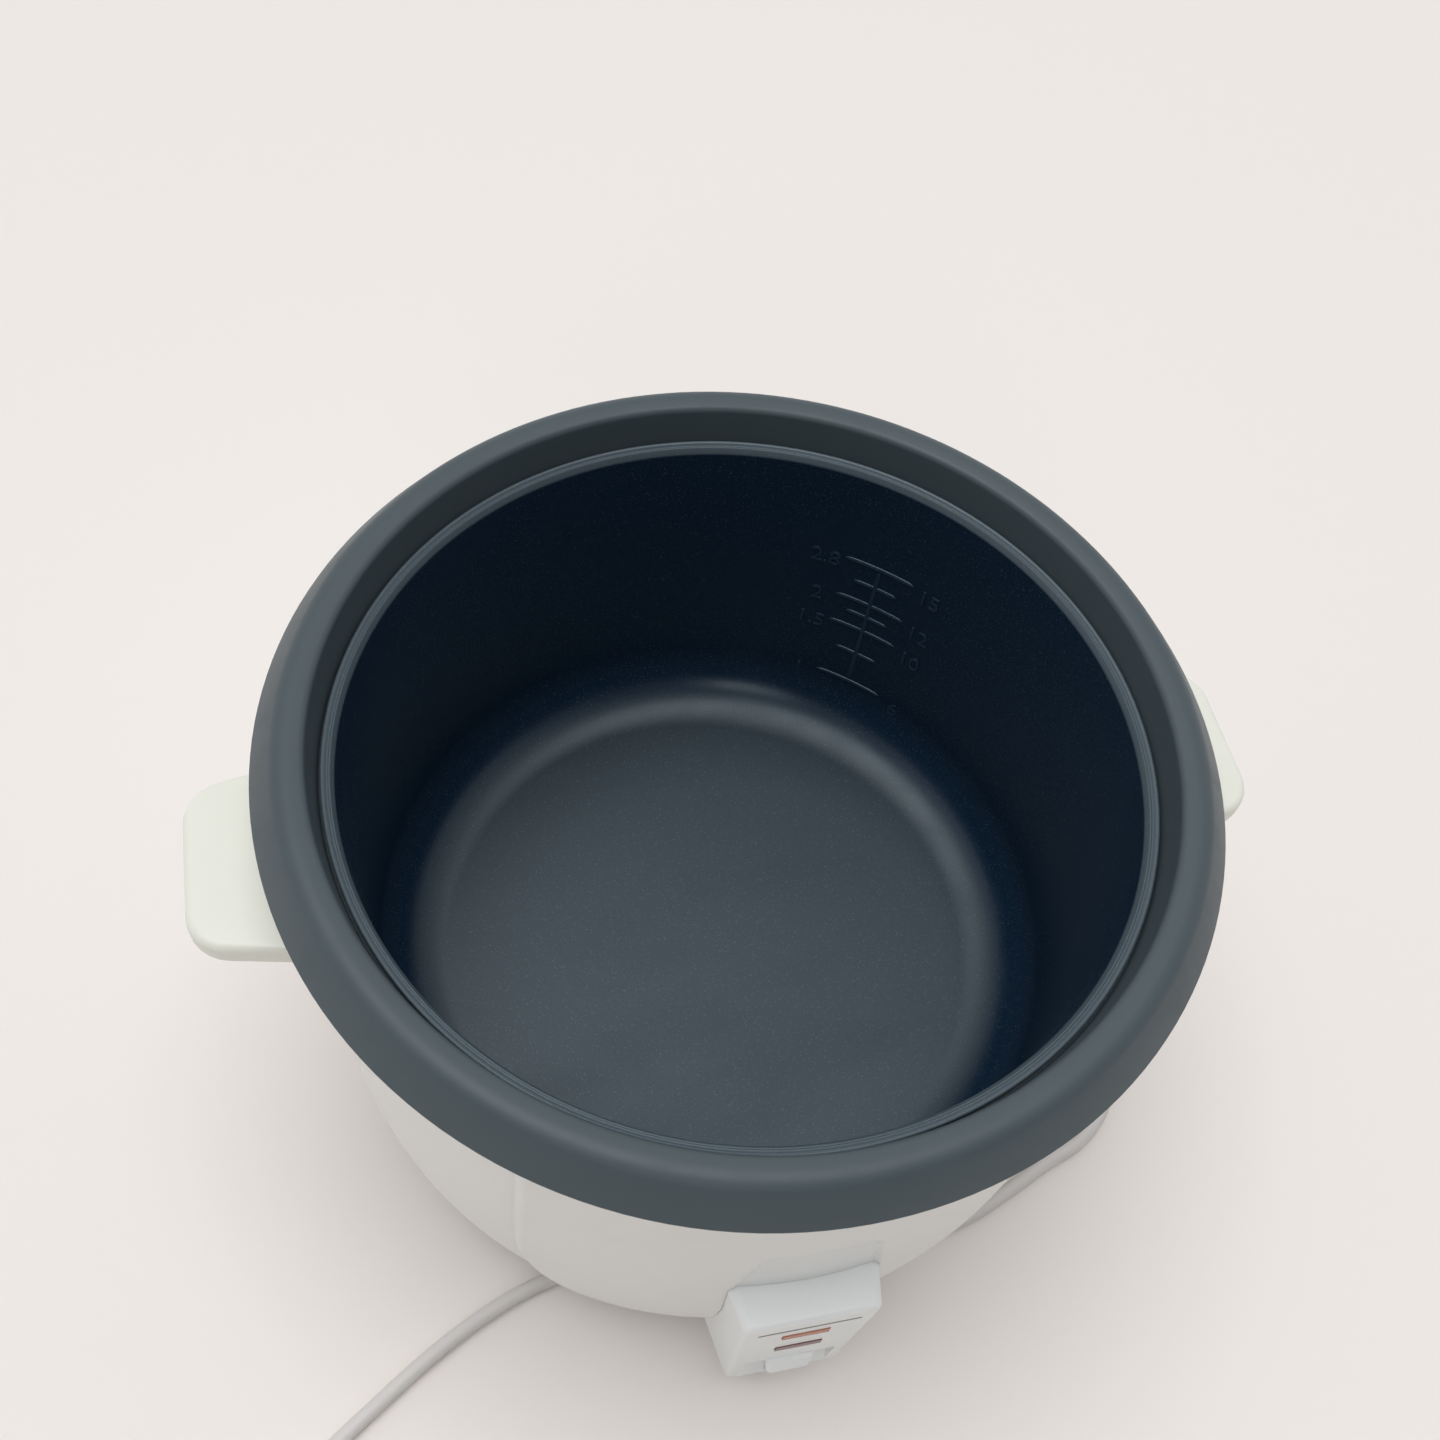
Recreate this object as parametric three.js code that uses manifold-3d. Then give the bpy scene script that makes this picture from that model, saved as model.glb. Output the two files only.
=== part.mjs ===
// A household rice cooker with a lift-out pot, as an assembly of separate pieces.
// Millimetres, +Z up. The origin is on the table under the middle of the body, and the front is -Y.

import * as THREE from 'three';
import { mergeVertices } from 'three/addons/utils/BufferGeometryUtils.js';
import Module from 'manifold-3d';

const wasm = await Module();
wasm.setup();

// Clearances and mesh fineness
const clearance = 0.3; // between pieces that seat on each other
const overrun = 8; // how far a cut runs past the face that it opens
const roundSides = 48;
const wellSides = 32;
const innerSides = 24;
const smallSides = 8;
const bendSteps = 5;
const tuckSteps = 7;
const cornerSteps = 3;
const edgeSteps = 2;
const weldDistance = 0.0001; // corners closer than this are one corner

// Body shell: straight above the waist, tucked in below it along a quarter ellipse
const cookerHeight = 222; // table to the crease of the rim
const bodyFloorHeight = 15;
const tuckHeight = 83;
const tuckDepth = 28;
const tuckReserveShare = 0.012; // the ellipse ends this much below the floor of the body
const bodyRadius = 143.5; // at the waist
const bodyFlare = 4; // from the waist to the top edge
const bodyWall = 1.8;
const floorLipWidth = 14;
const floorLipThickness = 2;

// Rim ring: a sloping skirt, a flat top, and a recess with a ledge round the pot
const rimTopThickness = 3.5;
const rimWall = 2.5;
const creaseOverhang = 1;
const creaseRound = 3.5;
const skirtDrop = 14;
const skirtFlare = 10;
const rimTopWidth = 8.5;
const rimTopFall = 1.3;
const recessDepth = 13.2;
const recessDraft = 2.2;
const recessRound = 2;
const ledgeWidth = 1.9;
const ledgeStep = 2.7;
const ledgeThickness = 1.9;

// Inner pot
const potFlangeGap = 1;
const potFlangeWidth = 4.7;
const potFlangeFall = 2.5;
const potFlangeRise = 0.6; // flange edge above the foot of the recess wall
const potWall = 1.6;
const potFloorThickness = 2;
const potDraft = 5.1; // mouth to the start of the floor fillet
const potFillet = 25;

// Pot well and the standoffs under it
const wellWall = 0.8;
const wellGap = 0.5; // from the ledge's edge to the well's mouth
const wellFlangeWidth = 4.7;
const wellDraft = 5.3;
const wellFillet = 27;
const wellFloorHeight = 44;
const wellHoleRadius = 34;
const standoffRadius = 4;
const standoffInset = 12; // inside the foot of the well's fillet
const standoffCount = 3;
const standoffBoreDepth = 12;
const standoffFirstDegrees = 90;

// Heating plate with its cast-in element
const plateInset = 14; // inside the foot of the pot's fillet
const plateThickness = 8;
const plateHoleRadius = 21;
const plateEdgeChamfer = 2;
const elementInset = 28; // from the plate's edge to the middle of the element
const elementRadius = 6;
const plateLegRadius = 5;
const plateLegLength = 12.2;
const plateLegInset = 13;
const plateLegCount = 3;
const plateLegBoreDepth = 8;
const plateLegFirstDegrees = 60;
const terminalRadius = 2.2;
const terminalHalfSpacing = 12;
const terminalLength = 12.5;
const terminalHoleMargin = 2.5;

// Thermostat in the middle of the plate
const capRadius = 18.5;
const capWall = 1.5;
const capLipWidth = 4.5;
const capLipThickness = 1.2;
const ferriteRadius = 8;
const ferriteHeight = 5;
const magnetRadius = 7;
const magnetHeight = 6;
const magnetGap = 8.5; // that the magnet jumps to reach the ferrite
const plungerRodRadius = 2.5;
const housingWall = 2;
const housingRunningGap = 1;
const housingHeight = 14;
const housingFlangeWidth = 5;
const capSpringRadius = 13.2;
const capSpringWire = 1.4;
const capSpringCurls = 5;
const holderHeight = 36; // underside of the bracket that carries the thermostat
const holderThickness = 1.5;
const holderWidth = 20;
const holderFootWidth = 10;

// Cook lever
const leverTravelDegrees = 5.2;
const leverReach = 100.2; // from the foremost part of the switch box back to the pin
const pivotHeight = 30.5;
const pinRadius = 2;
const pinHeadRadius = 3.5;
const pinHeadThickness = 1.5;
const leverThickness = 3;
const leverBossRadius = 6;
const leverCornerRound = 2;
const leverRearTop = 28;
const leverRearDepth = 6;
const leverRearReach = 6; // past the middle, towards the back
const stemHalfWidth = 5;
const stemDepth = 8.5;
const stemTopDrop = 2.5; // below the pocket's top
const stemLength = 15;
const stemSocketLength = 11;
const bracketInnerWidth = 16;
const bracketThickness = 2;
const bracketLength = 16;
const bracketCrown = 5.5; // ear above the pin's axis
const bushWall = 1.2;
const leverSpringRadius = 4.2;
const leverSpringWire = 1;
const leverSpringCurls = 4;

// Base plate, feet and screws
const baseInset = 4.5;
const baseThickness = 1.5;
const ventCount = 8;
const ventWidth = 5;
const ventInnerRadius = 44;
const ventOuterRadius = 70;
const footRadius = 9;
const footTopRadius = 10;
const footInset = 23.3; // from the plate's edge to the middle of a foot
const footCount = 4;
const footFirstDegrees = 45;
const footPegRadius = 3;
const footPegReach = 2;
const screwRadius = 2;
const screwHeadRadius = 4;
const screwHeadThickness = 2.2;

// Front panel
const panelThickness = 2.3;
const panelHalfWidthShare = 0.641; // of the body's radius
const panelBottomHeight = 38;
const panelTopDrop = 2; // below the foot of the skirt
const panelCornerRound = 62;
const dishHeight = 39; // shallow dish above the switch box
const dishTopHalfWidth = 19;
const dishSpread = 7;
const dishRound = 8;
const dishDepth = 1.5;

// Switch box with two lamp windows and the lever's pocket
const boxTopHeight = 106;
const boxBottomHeight = 22;
const boxTopHalfWidth = 23.5;
const boxBottomHalfWidth = 21.2;
const boxProud = 14.7; // beyond the waist of the body
const boxLean = 3.1; // the foot of the face lies this much further back
const boxFlareShare = 0.18; // how far each side leans out, of the depth behind the face
const boxWall = 1.8;
const boxLowerRound = 6;
const boxUpperRound = 2;
const boxLipRound = 1.5;
const windowWidth = 17;
const windowHeight = 5;
const cookWindowShare = 0.65; // of the height from the pocket to the top of the box
const warmWindowShare = 0.33;
const lensProud = 0.4;
const lensFlange = 1.2;
const lensFlangeMargin = 1.5;
const pocketTopRise = 26; // from the foot of the box
const pocketBottomRise = 4;
const pocketHalfWidth = 16.6;
const pocketDepth = 7;
const slotMargin = 1;
const openingMargin = 3.4;
const tabHalfWidth = 9;
const tabFrontHalfWidth = 7.5;
const tabProud = 3;
const tabFrontFall = 9; // height of the tab's front face
const tabHeelFall = 12;
const tabBackFall = 3; // height of the tab's back, so that it clears the pocket when pressed
const tabHeelGap = 1.2;
const tabRound = 1.5;
const tabTopGap = 0.8;

// Lamps behind the windows
const lampRadius = 2.8;
const lampLength = 15;
const lampHolderHalfWidth = 17;
const lampHolderMargin = 5;

// Handles
const handleTopDrop = 45; // below the crease of the rim
const handleThickness = 10;
const handleReach = 35.4; // beyond the top edge of the body
const handleRootHalfWidth = 37;
const handleTipHalfWidth = 29.5;
const handleCornerRound = 15;
const handleEdgeRound = 2.5;
const handleWall = 3;
const handleRootWall = 8;
const handleScrewHalfSpacing = 18;
const handleScrewBite = 5;

// Parts on the base plate
const switchLength = 22;
const switchWidth = 10;
const switchHeight = 9;
const switchInset = 24.3; // from the base plate's edge to the middle of the switch
const switchButtonRadius = 1.5;
const switchButtonHeight = 1.4;
const blockLength = 26;
const blockWidth = 16;
const blockHeight = 14;
const blockAside = 35;
const blockInset = 35.8; // from the floor lip's edge to the middle of the block
const fuseRadius = 2.5;
const fuseLength = 30;
const fuseOffset = 12; // from the edge of the well's hole to the fuse
const heaterSpanDegrees = 60;
const heaterThickness = 1.6;
const heaterHeight = 26;
const heaterTopDrop = 60; // below the well's flange

// Wires inside
const wireDiameter = 2.4;
const wireSides = 8;
const wireSteps = 12;
const wireRise = 5;
const lampWireApproach = 25; // how far behind the body's front the lamp wire turns up

// The lamp wire's corners from the terminal block round the right, in shares of the circle of feet
const lampWireShares = [
  [0.72, 0.42],
  [0.7, 0],
  [0.62, -0.5],
  [0.36, -0.95],
];

// Cord gland at the back
const glandHeight = 28;
const glandNeckRadius = 5.7;
const glandFlangeRadius = 9;
const glandFlangeThickness = 2.4;
const glandTaperLength = 26;
const glandTaperRadius = 7;
const glandTipRadius = 4.3;
const cordBossRadius = 10.5;
const cordBossLength = 16;
const cordBossProud = 3.6;

// Mains cord, its coil and its plug
const cordDiameter = 6;
const cordSides = 8;
const cordSteps = 54;
const cordLift = 0.1; // the cord's skin above the table
const coilCentreX = -166;
const coilCentreY = -198;
const coilMiddleRadius = 32;
const coilTurns = 2.4;
const coilStartDegrees = 125;
const coilPitch = 6.8; // from turn to turn and from layer to layer
const coilClimbTurns = 0.5;
const coilLoopSteps = 24;
const coilSides = 6;
const curlSteps = 8;
const selfGapDiameters = 3; // turns are compared at points this far apart along the tube
const curlSides = 5;
const plugBodyLength = 30;
const plugBodyWidth = 24;
const plugRound = 4;
const plugRoundSteps = 2;
const plugNeckLength = 20;
const plugNeckTip = 4.2;
const plugNeckRoot = 7;
const bladeLength = 17;
const bladeWidth = 6.3;
const bladeThickness = 1.5;
const bladeSpacing = 12.7;

// The cord's route from the gland to the coil, over the table: x, y and height of its middle
const cordRoute = [
  [0, 175, 27.9],
  [1.5, 186, 25.2],
  [5.5, 196.5, 19.6],
  [12.5, 205.5, 12.9],
  [23, 211.5, 7.1],
  [36, 213, 3.9],
  [52, 209, 3.1],
  [78, 192.5, 3.1],
  [108, 164, 3.1],
  [143, 132, 3.1],
  [169, 93, 3.1],
  [183, 48, 3.1],
  [187, 5, 3.1],
  [181, -36, 3.1],
  [167, -68, 3.1],
  [157, -80, 3.1],
  [146, -87.3, 3.1],
  [133, -92, 3.1],
  [112, -101, 3.1],
  [88, -109.5, 3.1],
  [55, -113, 3.1],
  [15, -109, 3.1],
  [-25, -103, 3.1],
  [-56, -101, 3.1],
  [-80, -103.6, 3.1],
  [-103, -111.5, 3.1],
  [-125, -122.8, 3.1],
  [-148, -137.5, 3.1],
  [-168, -151.5, 3.1],
];

// Radii and heights that follow from the driving dimensions
const turn = 2 * Math.PI;
const waistHeight = bodyFloorHeight + tuckHeight;
const tuckSemiHeight = tuckHeight * (1 + tuckReserveShare);
const bodyTopHeight = cookerHeight - rimTopThickness - clearance;
const bodyTopRadius = bodyRadius + bodyFlare;
const creaseRadius = bodyTopRadius + creaseOverhang;
const skirtFootHeight = cookerHeight - skirtDrop;
const rimInnerRadius = creaseRadius - rimTopWidth;
const rimInnerHeight = cookerHeight - rimTopFall;
const recessFootRadius = rimInnerRadius - recessDraft;
const recessFootHeight = rimInnerHeight - recessDepth;
const ledgeInnerRadius = recessFootRadius - ledgeWidth;
const ledgeTopHeight = recessFootHeight - ledgeStep;
const ledgeBottomHeight = ledgeTopHeight - ledgeThickness;
const potFlangeRadius = recessFootRadius - potFlangeGap;
const potFlangeHeight = recessFootHeight + potFlangeRise;
const potMouthRadius = potFlangeRadius - potFlangeWidth;
const potMouthHeight = potFlangeHeight - potFlangeFall;
const potSideRadius = potMouthRadius - potDraft;
const wellMouthRadius = ledgeInnerRadius + wellGap;
const wellTopHeight = ledgeBottomHeight - clearance;
const wellSideRadius = wellMouthRadius - wellDraft;
const wellFloorTop = wellFloorHeight + wellWall;
const plateUnderHeight = wellFloorTop + clearance + plateLegLength;
const plateTopHeight = plateUnderHeight + plateThickness;
const ferriteUnderHeight = plateTopHeight - capWall - clearance - ferriteHeight;
const magnetTopHeight = ferriteUnderHeight - magnetGap;
const potUnderHeight = plateTopHeight + clearance;
const potFloorHeight = potUnderHeight + potFloorThickness;
const baseTopHeight = bodyFloorHeight - clearance;
const baseUnderHeight = baseTopHeight - baseThickness;
const boxReach = bodyRadius + boxProud;
const pocketTopHeight = boxBottomHeight + pocketTopRise;
const pocketBottomHeight = boxBottomHeight + pocketBottomRise;
const windowRange = boxTopHeight - pocketTopHeight;
const cookWindowHeight = pocketTopHeight + cookWindowShare * windowRange;
const warmWindowHeight = pocketTopHeight + warmWindowShare * windowRange;
const panelTopHeight = skirtFootHeight - panelTopDrop;
const panelHalfWidth = bodyRadius * panelHalfWidthShare;
const handleTopHeight = cookerHeight - handleTopDrop;
const plateRadius = potSideRadius - potFillet - plateInset;
const elementCircle = plateRadius - elementInset;
const plateLegCircle = plateRadius - plateLegInset;
const standoffCircle = wellSideRadius - wellFillet - standoffInset;
const baseRadius = bodyRadiusAt(bodyFloorHeight) - baseInset;
const floorLipRadius = bodyRadiusAt(bodyFloorHeight) - floorLipWidth;
const footCircle = baseRadius - footInset;
const pivotOffset = bodyRadius + boxProud - leverReach;
const switchMiddle = switchInset - baseRadius;
const blockBehind = floorLipRadius - blockInset;
const fuseBehind = wellHoleRadius + fuseOffset;
const boxOpeningHalfWidth = boxBottomHalfWidth - boxWall - openingMargin;
const stemTopHeight = pocketTopHeight - stemTopDrop;
const stemBottomHeight = stemTopHeight - stemDepth;
const leverDrop = (boxReach - pivotOffset) * Math.sin(THREE.MathUtils.degToRad(leverTravelDegrees));
const cordRestHeight = cordDiameter / 2 + cordLift;
const glandFaceY = bodyRadiusAt(glandHeight) + cordBossProud;

// Finishes
function finish(colour, roughness, metalness = 0) {
  return new THREE.MeshStandardMaterial({ color: colour, roughness, metalness });
}

const whitePlastic = finish('#e6e5de', 0.42);
const handlePlastic = finish('#e4e4d8', 0.45);
const rimPlastic = finish('#3b464d', 0.5);
const potCoating = finish('#1c2732', 0.45, 0.1);
const castAluminium = finish('#a9abad', 0.45, 0.9);
const zincSteel = finish('#b3b6b8', 0.4, 0.9);
const springSteel = finish('#8d9093', 0.35, 0.9);
const ferriteBlack = finish('#2c2b2b', 0.7);
const orangeLens = finish('#c8682e', 0.3);
const redLens = finish('#6d1f1c', 0.3);
const lampGlass = finish('#d9d4c8', 0.1);
const blackPlastic = finish('#222324', 0.5);
const mica = finish('#b59a62', 0.6);
const brassAlloy = finish('#b08d4a', 0.35, 0.9);
const rubber = finish('#3a3a3a', 0.8);
const cordSheath = finish('#b4b1ad', 0.5);
const wireSheath = finish('#c9c2b2', 0.6);

// Solids and how they are joined and cut

// The closed solid that a geometry bounds, turned right side out.
function toSolid(geometry) {
  const bare = geometry.clone();
  bare.deleteAttribute('normal');
  bare.deleteAttribute('uv');
  const merged = mergeVertices(bare, weldDistance);
  const corners = merged.index.array;
  const triVerts = new Uint32Array(corners);
  const vertProperties = new Float32Array(merged.attributes.position.array);
  const solid = new wasm.Manifold(new wasm.Mesh({ numProp: 3, vertProperties, triVerts }));
  if (solid.volume() > 0) return solid;
  for (let i = 0; i < triVerts.length; i += 3) {
    [triVerts[i + 1], triVerts[i + 2]] = [triVerts[i + 2], triVerts[i + 1]];
  }
  return new wasm.Manifold(new wasm.Mesh({ numProp: 3, vertProperties, triVerts }));
}

// The geometry of a solid.
function toGeometry(solid) {
  const made = solid.getMesh();
  const geometry = new THREE.BufferGeometry();
  geometry.setAttribute('position', new THREE.BufferAttribute(made.vertProperties, 3));
  geometry.setIndex(new THREE.BufferAttribute(made.triVerts, 1));
  geometry.computeVertexNormals();
  return geometry;
}

function cut(solid, ...tools) {
  return tools.reduce((rest, tool) => rest.subtract(tool), solid);
}

function join(solid, ...others) {
  return others.reduce((whole, other) => whole.add(other), solid);
}

// A profile of [radius, height] points turned about the Z axis.
function revolve(profile, sides = roundSides) {
  const points = profile.map(([r, z]) => new THREE.Vector2(r, z));
  const first = points[0];
  const last = points[points.length - 1];
  if (first.x > 0 || last.x > 0) points.push(first.clone());
  const geometry = new THREE.LatheGeometry(points, sides);
  geometry.rotateX(Math.PI / 2);
  return toSolid(geometry);
}

// A closed outline of [x, y, round] corners, where round is the length cut off each side.
function outline(corners, holes = []) {
  const shape = new THREE.Shape();
  const at = (i) => new THREE.Vector2(...corners[(i + corners.length) % corners.length]);
  corners.forEach(([x, y, round = 0], i) => {
    const corner = new THREE.Vector2(x, y);
    const before = at(i - 1).sub(corner).setLength(round).add(corner);
    const after = at(i + 1).sub(corner).setLength(round).add(corner);
    if (i === 0) shape.moveTo(before.x, before.y);
    else shape.lineTo(before.x, before.y);
    if (round > 0) shape.quadraticCurveTo(x, y, after.x, after.y);
  });
  shape.closePath();
  shape.holes.push(...holes);
  return shape;
}

function circle(radius, x = 0, y = 0) {
  const path = new THREE.Path();
  path.absarc(x, y, radius, 0, turn, false);
  return path;
}

function thicken(shape, depth, extra = {}) {
  return new THREE.ExtrudeGeometry(shape, {
    depth,
    bevelEnabled: false,
    curveSegments: bendSteps,
    ...extra,
  });
}

// An outline in X and Y between two heights.
function flatSlab(shape, bottom, top, extra = {}) {
  const geometry = thicken(shape, top - bottom, extra);
  geometry.translate(0, 0, bottom);
  return toSolid(geometry);
}

// An outline in X and Z from y = front to y = back.
function frontSlab(shape, front, back, extra = {}) {
  const geometry = thicken(shape, back - front, extra);
  geometry.rotateX(Math.PI / 2);
  geometry.translate(0, back, 0);
  return toSolid(geometry);
}

// An outline in Y and Z from x = left to x = right.
function sideSlab(shape, left, right, extra = {}) {
  const geometry = thicken(shape, right - left, extra);
  const yAxis = new THREE.Vector3(0, 1, 0);
  const zAxis = new THREE.Vector3(0, 0, 1);
  const xAxis = new THREE.Vector3(1, 0, 0);
  geometry.applyMatrix4(new THREE.Matrix4().makeBasis(yAxis, zAxis, xAxis));
  geometry.translate(left, 0, 0);
  return toSolid(geometry);
}

// A box between two opposite corners.
function block([x0, y0, z0], [x1, y1, z1]) {
  const geometry = new THREE.BoxGeometry(x1 - x0, y1 - y0, z1 - z0);
  geometry.translate((x0 + x1) / 2, (y0 + y1) / 2, (z0 + z1) / 2);
  return toSolid(geometry);
}

// Small turned pieces: a profile turned about Z, then laid along an axis and moved to its place.
function turned(profile, axis, place, sides = smallSides) {
  const points = profile.map(([r, z]) => new THREE.Vector2(r, z));
  const geometry = new THREE.LatheGeometry(points, sides);
  const from = new THREE.Vector3(0, 1, 0);
  geometry.applyQuaternion(new THREE.Quaternion().setFromUnitVectors(from, axis));
  geometry.translate(...place);
  return toSolid(geometry);
}

const alongX = new THREE.Vector3(1, 0, 0);
const againstX = new THREE.Vector3(-1, 0, 0);
const alongY = new THREE.Vector3(0, 1, 0);
const alongZ = new THREE.Vector3(0, 0, 1);

// A plain round bar from its place along an axis.
function bar(radius, length, axis, place, sides = smallSides) {
  const profile = [[0, 0], [radius, 0], [radius, length], [0, length]];
  return turned(profile, axis, place, sides);
}

// A screw whose head's outer face is at its place and whose shank points along an axis.
function screw(length, axis, place) {
  const profile = [
    [0, 0],
    [screwHeadRadius, 0],
    [screwHeadRadius, screwHeadThickness],
    [screwRadius, screwHeadThickness],
    [screwRadius, screwHeadThickness + length],
    [0, screwHeadThickness + length],
  ];
  return turned(profile, axis, place);
}

// A round section of a tube with a corner count.
function section(diameter, sides) {
  const corners = [];
  for (let i = 0; i < sides; i++) {
    const angle = (turn * (i + 0.5)) / sides;
    corners.push([(diameter / 2) * Math.cos(angle), (diameter / 2) * Math.sin(angle)]);
  }
  return outline(corners);
}

// A tube of one diameter along a smooth curve through its points.
function tube(points, diameter, sides, steps) {
  const curve = new THREE.CatmullRomCurve3(points.map((p) => new THREE.Vector3(...p)));
  const geometry = new THREE.ExtrudeGeometry(section(diameter, sides), {
    steps,
    extrudePath: curve,
    bevelEnabled: false,
  });
  return toSolid(geometry);
}

// A wound tube: one ring of corners round each point of its path, and a cap at each end.
function woundTube(path, diameter, sides) {
  const up = new THREE.Vector3(0, 0, 1);
  const positions = [];
  path.forEach((point, i) => {
    const ahead = path[Math.min(i + 1, path.length - 1)];
    const behind = path[Math.max(i - 1, 0)];
    const along = ahead.clone().sub(behind).normalize();
    const side = along.clone().cross(up).normalize();
    const lift = side.clone().cross(along);
    for (let k = 0; k < sides; k++) {
      const angle = (turn * k) / sides;
      const corner = point.clone();
      corner.addScaledVector(side, (diameter / 2) * Math.cos(angle));
      corner.addScaledVector(lift, (diameter / 2) * Math.sin(angle));
      positions.push(corner.x, corner.y, corner.z);
    }
  });
  const index = [];
  for (let i = 0; i + 1 < path.length; i++) {
    for (let k = 0; k < sides; k++) {
      const next = (k + 1) % sides;
      const [a, b] = [i * sides + k, i * sides + next];
      const [c, d] = [a + sides, b + sides];
      index.push(a, c, b, b, c, d);
    }
  }
  const last = (path.length - 1) * sides;
  for (let k = 1; k + 1 < sides; k++) {
    index.push(0, k, k + 1);
    index.push(last, last + k + 1, last + k);
  }
  const geometry = new THREE.BufferGeometry();
  geometry.setAttribute('position', new THREE.Float32BufferAttribute(positions, 3));
  geometry.setIndex(index);
  return toSolid(geometry);
}

// The least free space between turns of a wound tube, from points a few diameters apart along it.
function leastSelfGap(path, diameter) {
  const travelled = [0];
  for (let i = 1; i < path.length; i++) {
    travelled.push(travelled[i - 1] + path[i].distanceTo(path[i - 1]));
  }
  let least = Infinity;
  for (let i = 0; i < path.length; i++) {
    for (let k = i + 1; k < path.length; k++) {
      if (travelled[k] - travelled[i] < selfGapDiameters * diameter) continue;
      const line = new THREE.Line3(path[k - 1], path[k]);
      const nearest = line.closestPointToPoint(path[i], true, new THREE.Vector3());
      least = Math.min(least, nearest.distanceTo(path[i]) - diameter);
    }
  }
  return least;
}

// The body's side

// Corners of the body's side from its floor to its top edge, each moved out square to the side.
function sideCorners(off) {
  const reach = Math.asin(tuckHeight / tuckSemiHeight);
  const corners = [];
  for (let i = 0; i <= tuckSteps; i++) {
    const angle = reach * (1 - i / tuckSteps);
    const square = new THREE.Vector2(tuckSemiHeight * Math.cos(angle), tuckDepth * Math.sin(angle));
    square.setLength(1);
    corners.push([
      bodyRadius - tuckDepth * (1 - Math.cos(angle)) + off * square.x,
      waistHeight - tuckSemiHeight * Math.sin(angle) - off * square.y,
    ]);
  }
  corners.push([bodyTopRadius + off, bodyTopHeight]);
  return corners;
}

// Outer radius of the body's flat-sided form at a height, or of a surface some distance off it.
function bodyRadiusAt(z, off = 0) {
  const corners = sideCorners(off);
  const above = corners.findIndex(([, height]) => height >= z);
  const upper = Math.max(above < 0 ? corners.length - 1 : above, 1);
  const [r0, z0] = corners[upper - 1];
  const [r1, z1] = corners[upper];
  return r0 + ((r1 - r0) * (z - z0)) / (z1 - z0);
}

// The body's side from one height up to another, at some distance off it.
function sideProfile(off, bottom, top) {
  const between = sideCorners(off).filter(([, z]) => z > bottom && z < top);
  return [[bodyRadiusAt(bottom, off), bottom], ...between, [bodyRadiusAt(top, off), top]];
}

// All the space inside a surface that lies off the body's side by some distance.
function insideOfSide(off, bottom, top) {
  return revolve([[0, bottom], ...sideProfile(off, bottom, top), [0, top]]);
}

// A run of points round a quarter circle, from one angle to another.
function arc(centreR, centreZ, radius, from, to) {
  const points = [];
  for (let i = 0; i <= bendSteps; i++) {
    const angle = THREE.MathUtils.degToRad(from + ((to - from) * i) / bendSteps);
    points.push([centreR + radius * Math.cos(angle), centreZ + radius * Math.sin(angle)]);
  }
  return points;
}

// A rounded corner: points on a curve that leaves the corner out, between its two neighbours.
function roundedCorner(before, corner, after, round) {
  const tip = new THREE.Vector2(...corner);
  const start = new THREE.Vector2(...before).sub(tip).setLength(round).add(tip);
  const end = new THREE.Vector2(...after).sub(tip).setLength(round).add(tip);
  const curve = new THREE.QuadraticBezierCurve(start, tip, end);
  return curve.getPoints(cornerSteps).map((p) => [p.x, p.y]);
}

// Y of the switch box's face at a height.
function boxFaceAt(z) {
  const share = (boxTopHeight - z) / (boxTopHeight - boxBottomHeight);
  return boxLean * share - boxReach;
}

// The object and its pieces
const riceCooker = new THREE.Group();

function addPiece(name, solid, material) {
  const mesh = new THREE.Mesh(toGeometry(solid), material);
  mesh.name = name;
  riceCooker.add(mesh);
}

// The places of a ring of like pieces: a count on a circle from a first angle.
function ringPlaces(count, circleRadius, firstDegrees) {
  const places = [];
  for (let i = 0; i < count; i++) {
    const angle = THREE.MathUtils.degToRad(firstDegrees) + (turn * i) / count;
    places.push([circleRadius * Math.cos(angle), circleRadius * Math.sin(angle)]);
  }
  return places;
}

const standoffPlaces = ringPlaces(standoffCount, standoffCircle, standoffFirstDegrees);
const plateLegPlaces = ringPlaces(plateLegCount, plateLegCircle, plateLegFirstDegrees);
const footPlaces = ringPlaces(footCount, footCircle, footFirstDegrees);

function rimRing() {
  const skirtFoot = [creaseRadius + skirtFlare, skirtFootHeight];
  const crease = [creaseRadius, cookerHeight];
  const innerEdge = [rimInnerRadius, rimInnerHeight];
  const recessFoot = [recessFootRadius, recessFootHeight];
  const slope = Math.hypot(skirtFlare, skirtDrop);
  const skirtInset = (rimWall * slope) / skirtDrop;
  const roof = cookerHeight - rimTopThickness;
  const roofOuter = creaseRadius - skirtInset + (rimTopThickness * skirtFlare) / skirtDrop;
  const profile = [
    skirtFoot,
    ...roundedCorner(skirtFoot, crease, innerEdge, creaseRound),
    ...roundedCorner(crease, innerEdge, recessFoot, recessRound),
    recessFoot,
    [recessFootRadius - ledgeWidth / 3, ledgeTopHeight],
    [ledgeInnerRadius, ledgeTopHeight],
    [ledgeInnerRadius, ledgeBottomHeight],
    [recessFootRadius + rimWall, ledgeBottomHeight],
    [recessFootRadius + rimWall, recessFootHeight],
    [rimInnerRadius + rimWall, roof],
    [roofOuter, roof],
    [creaseRadius + skirtFlare - skirtInset, skirtFootHeight],
  ];
  addPiece('rim_ring', revolve(profile), rimPlastic);
}

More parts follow.
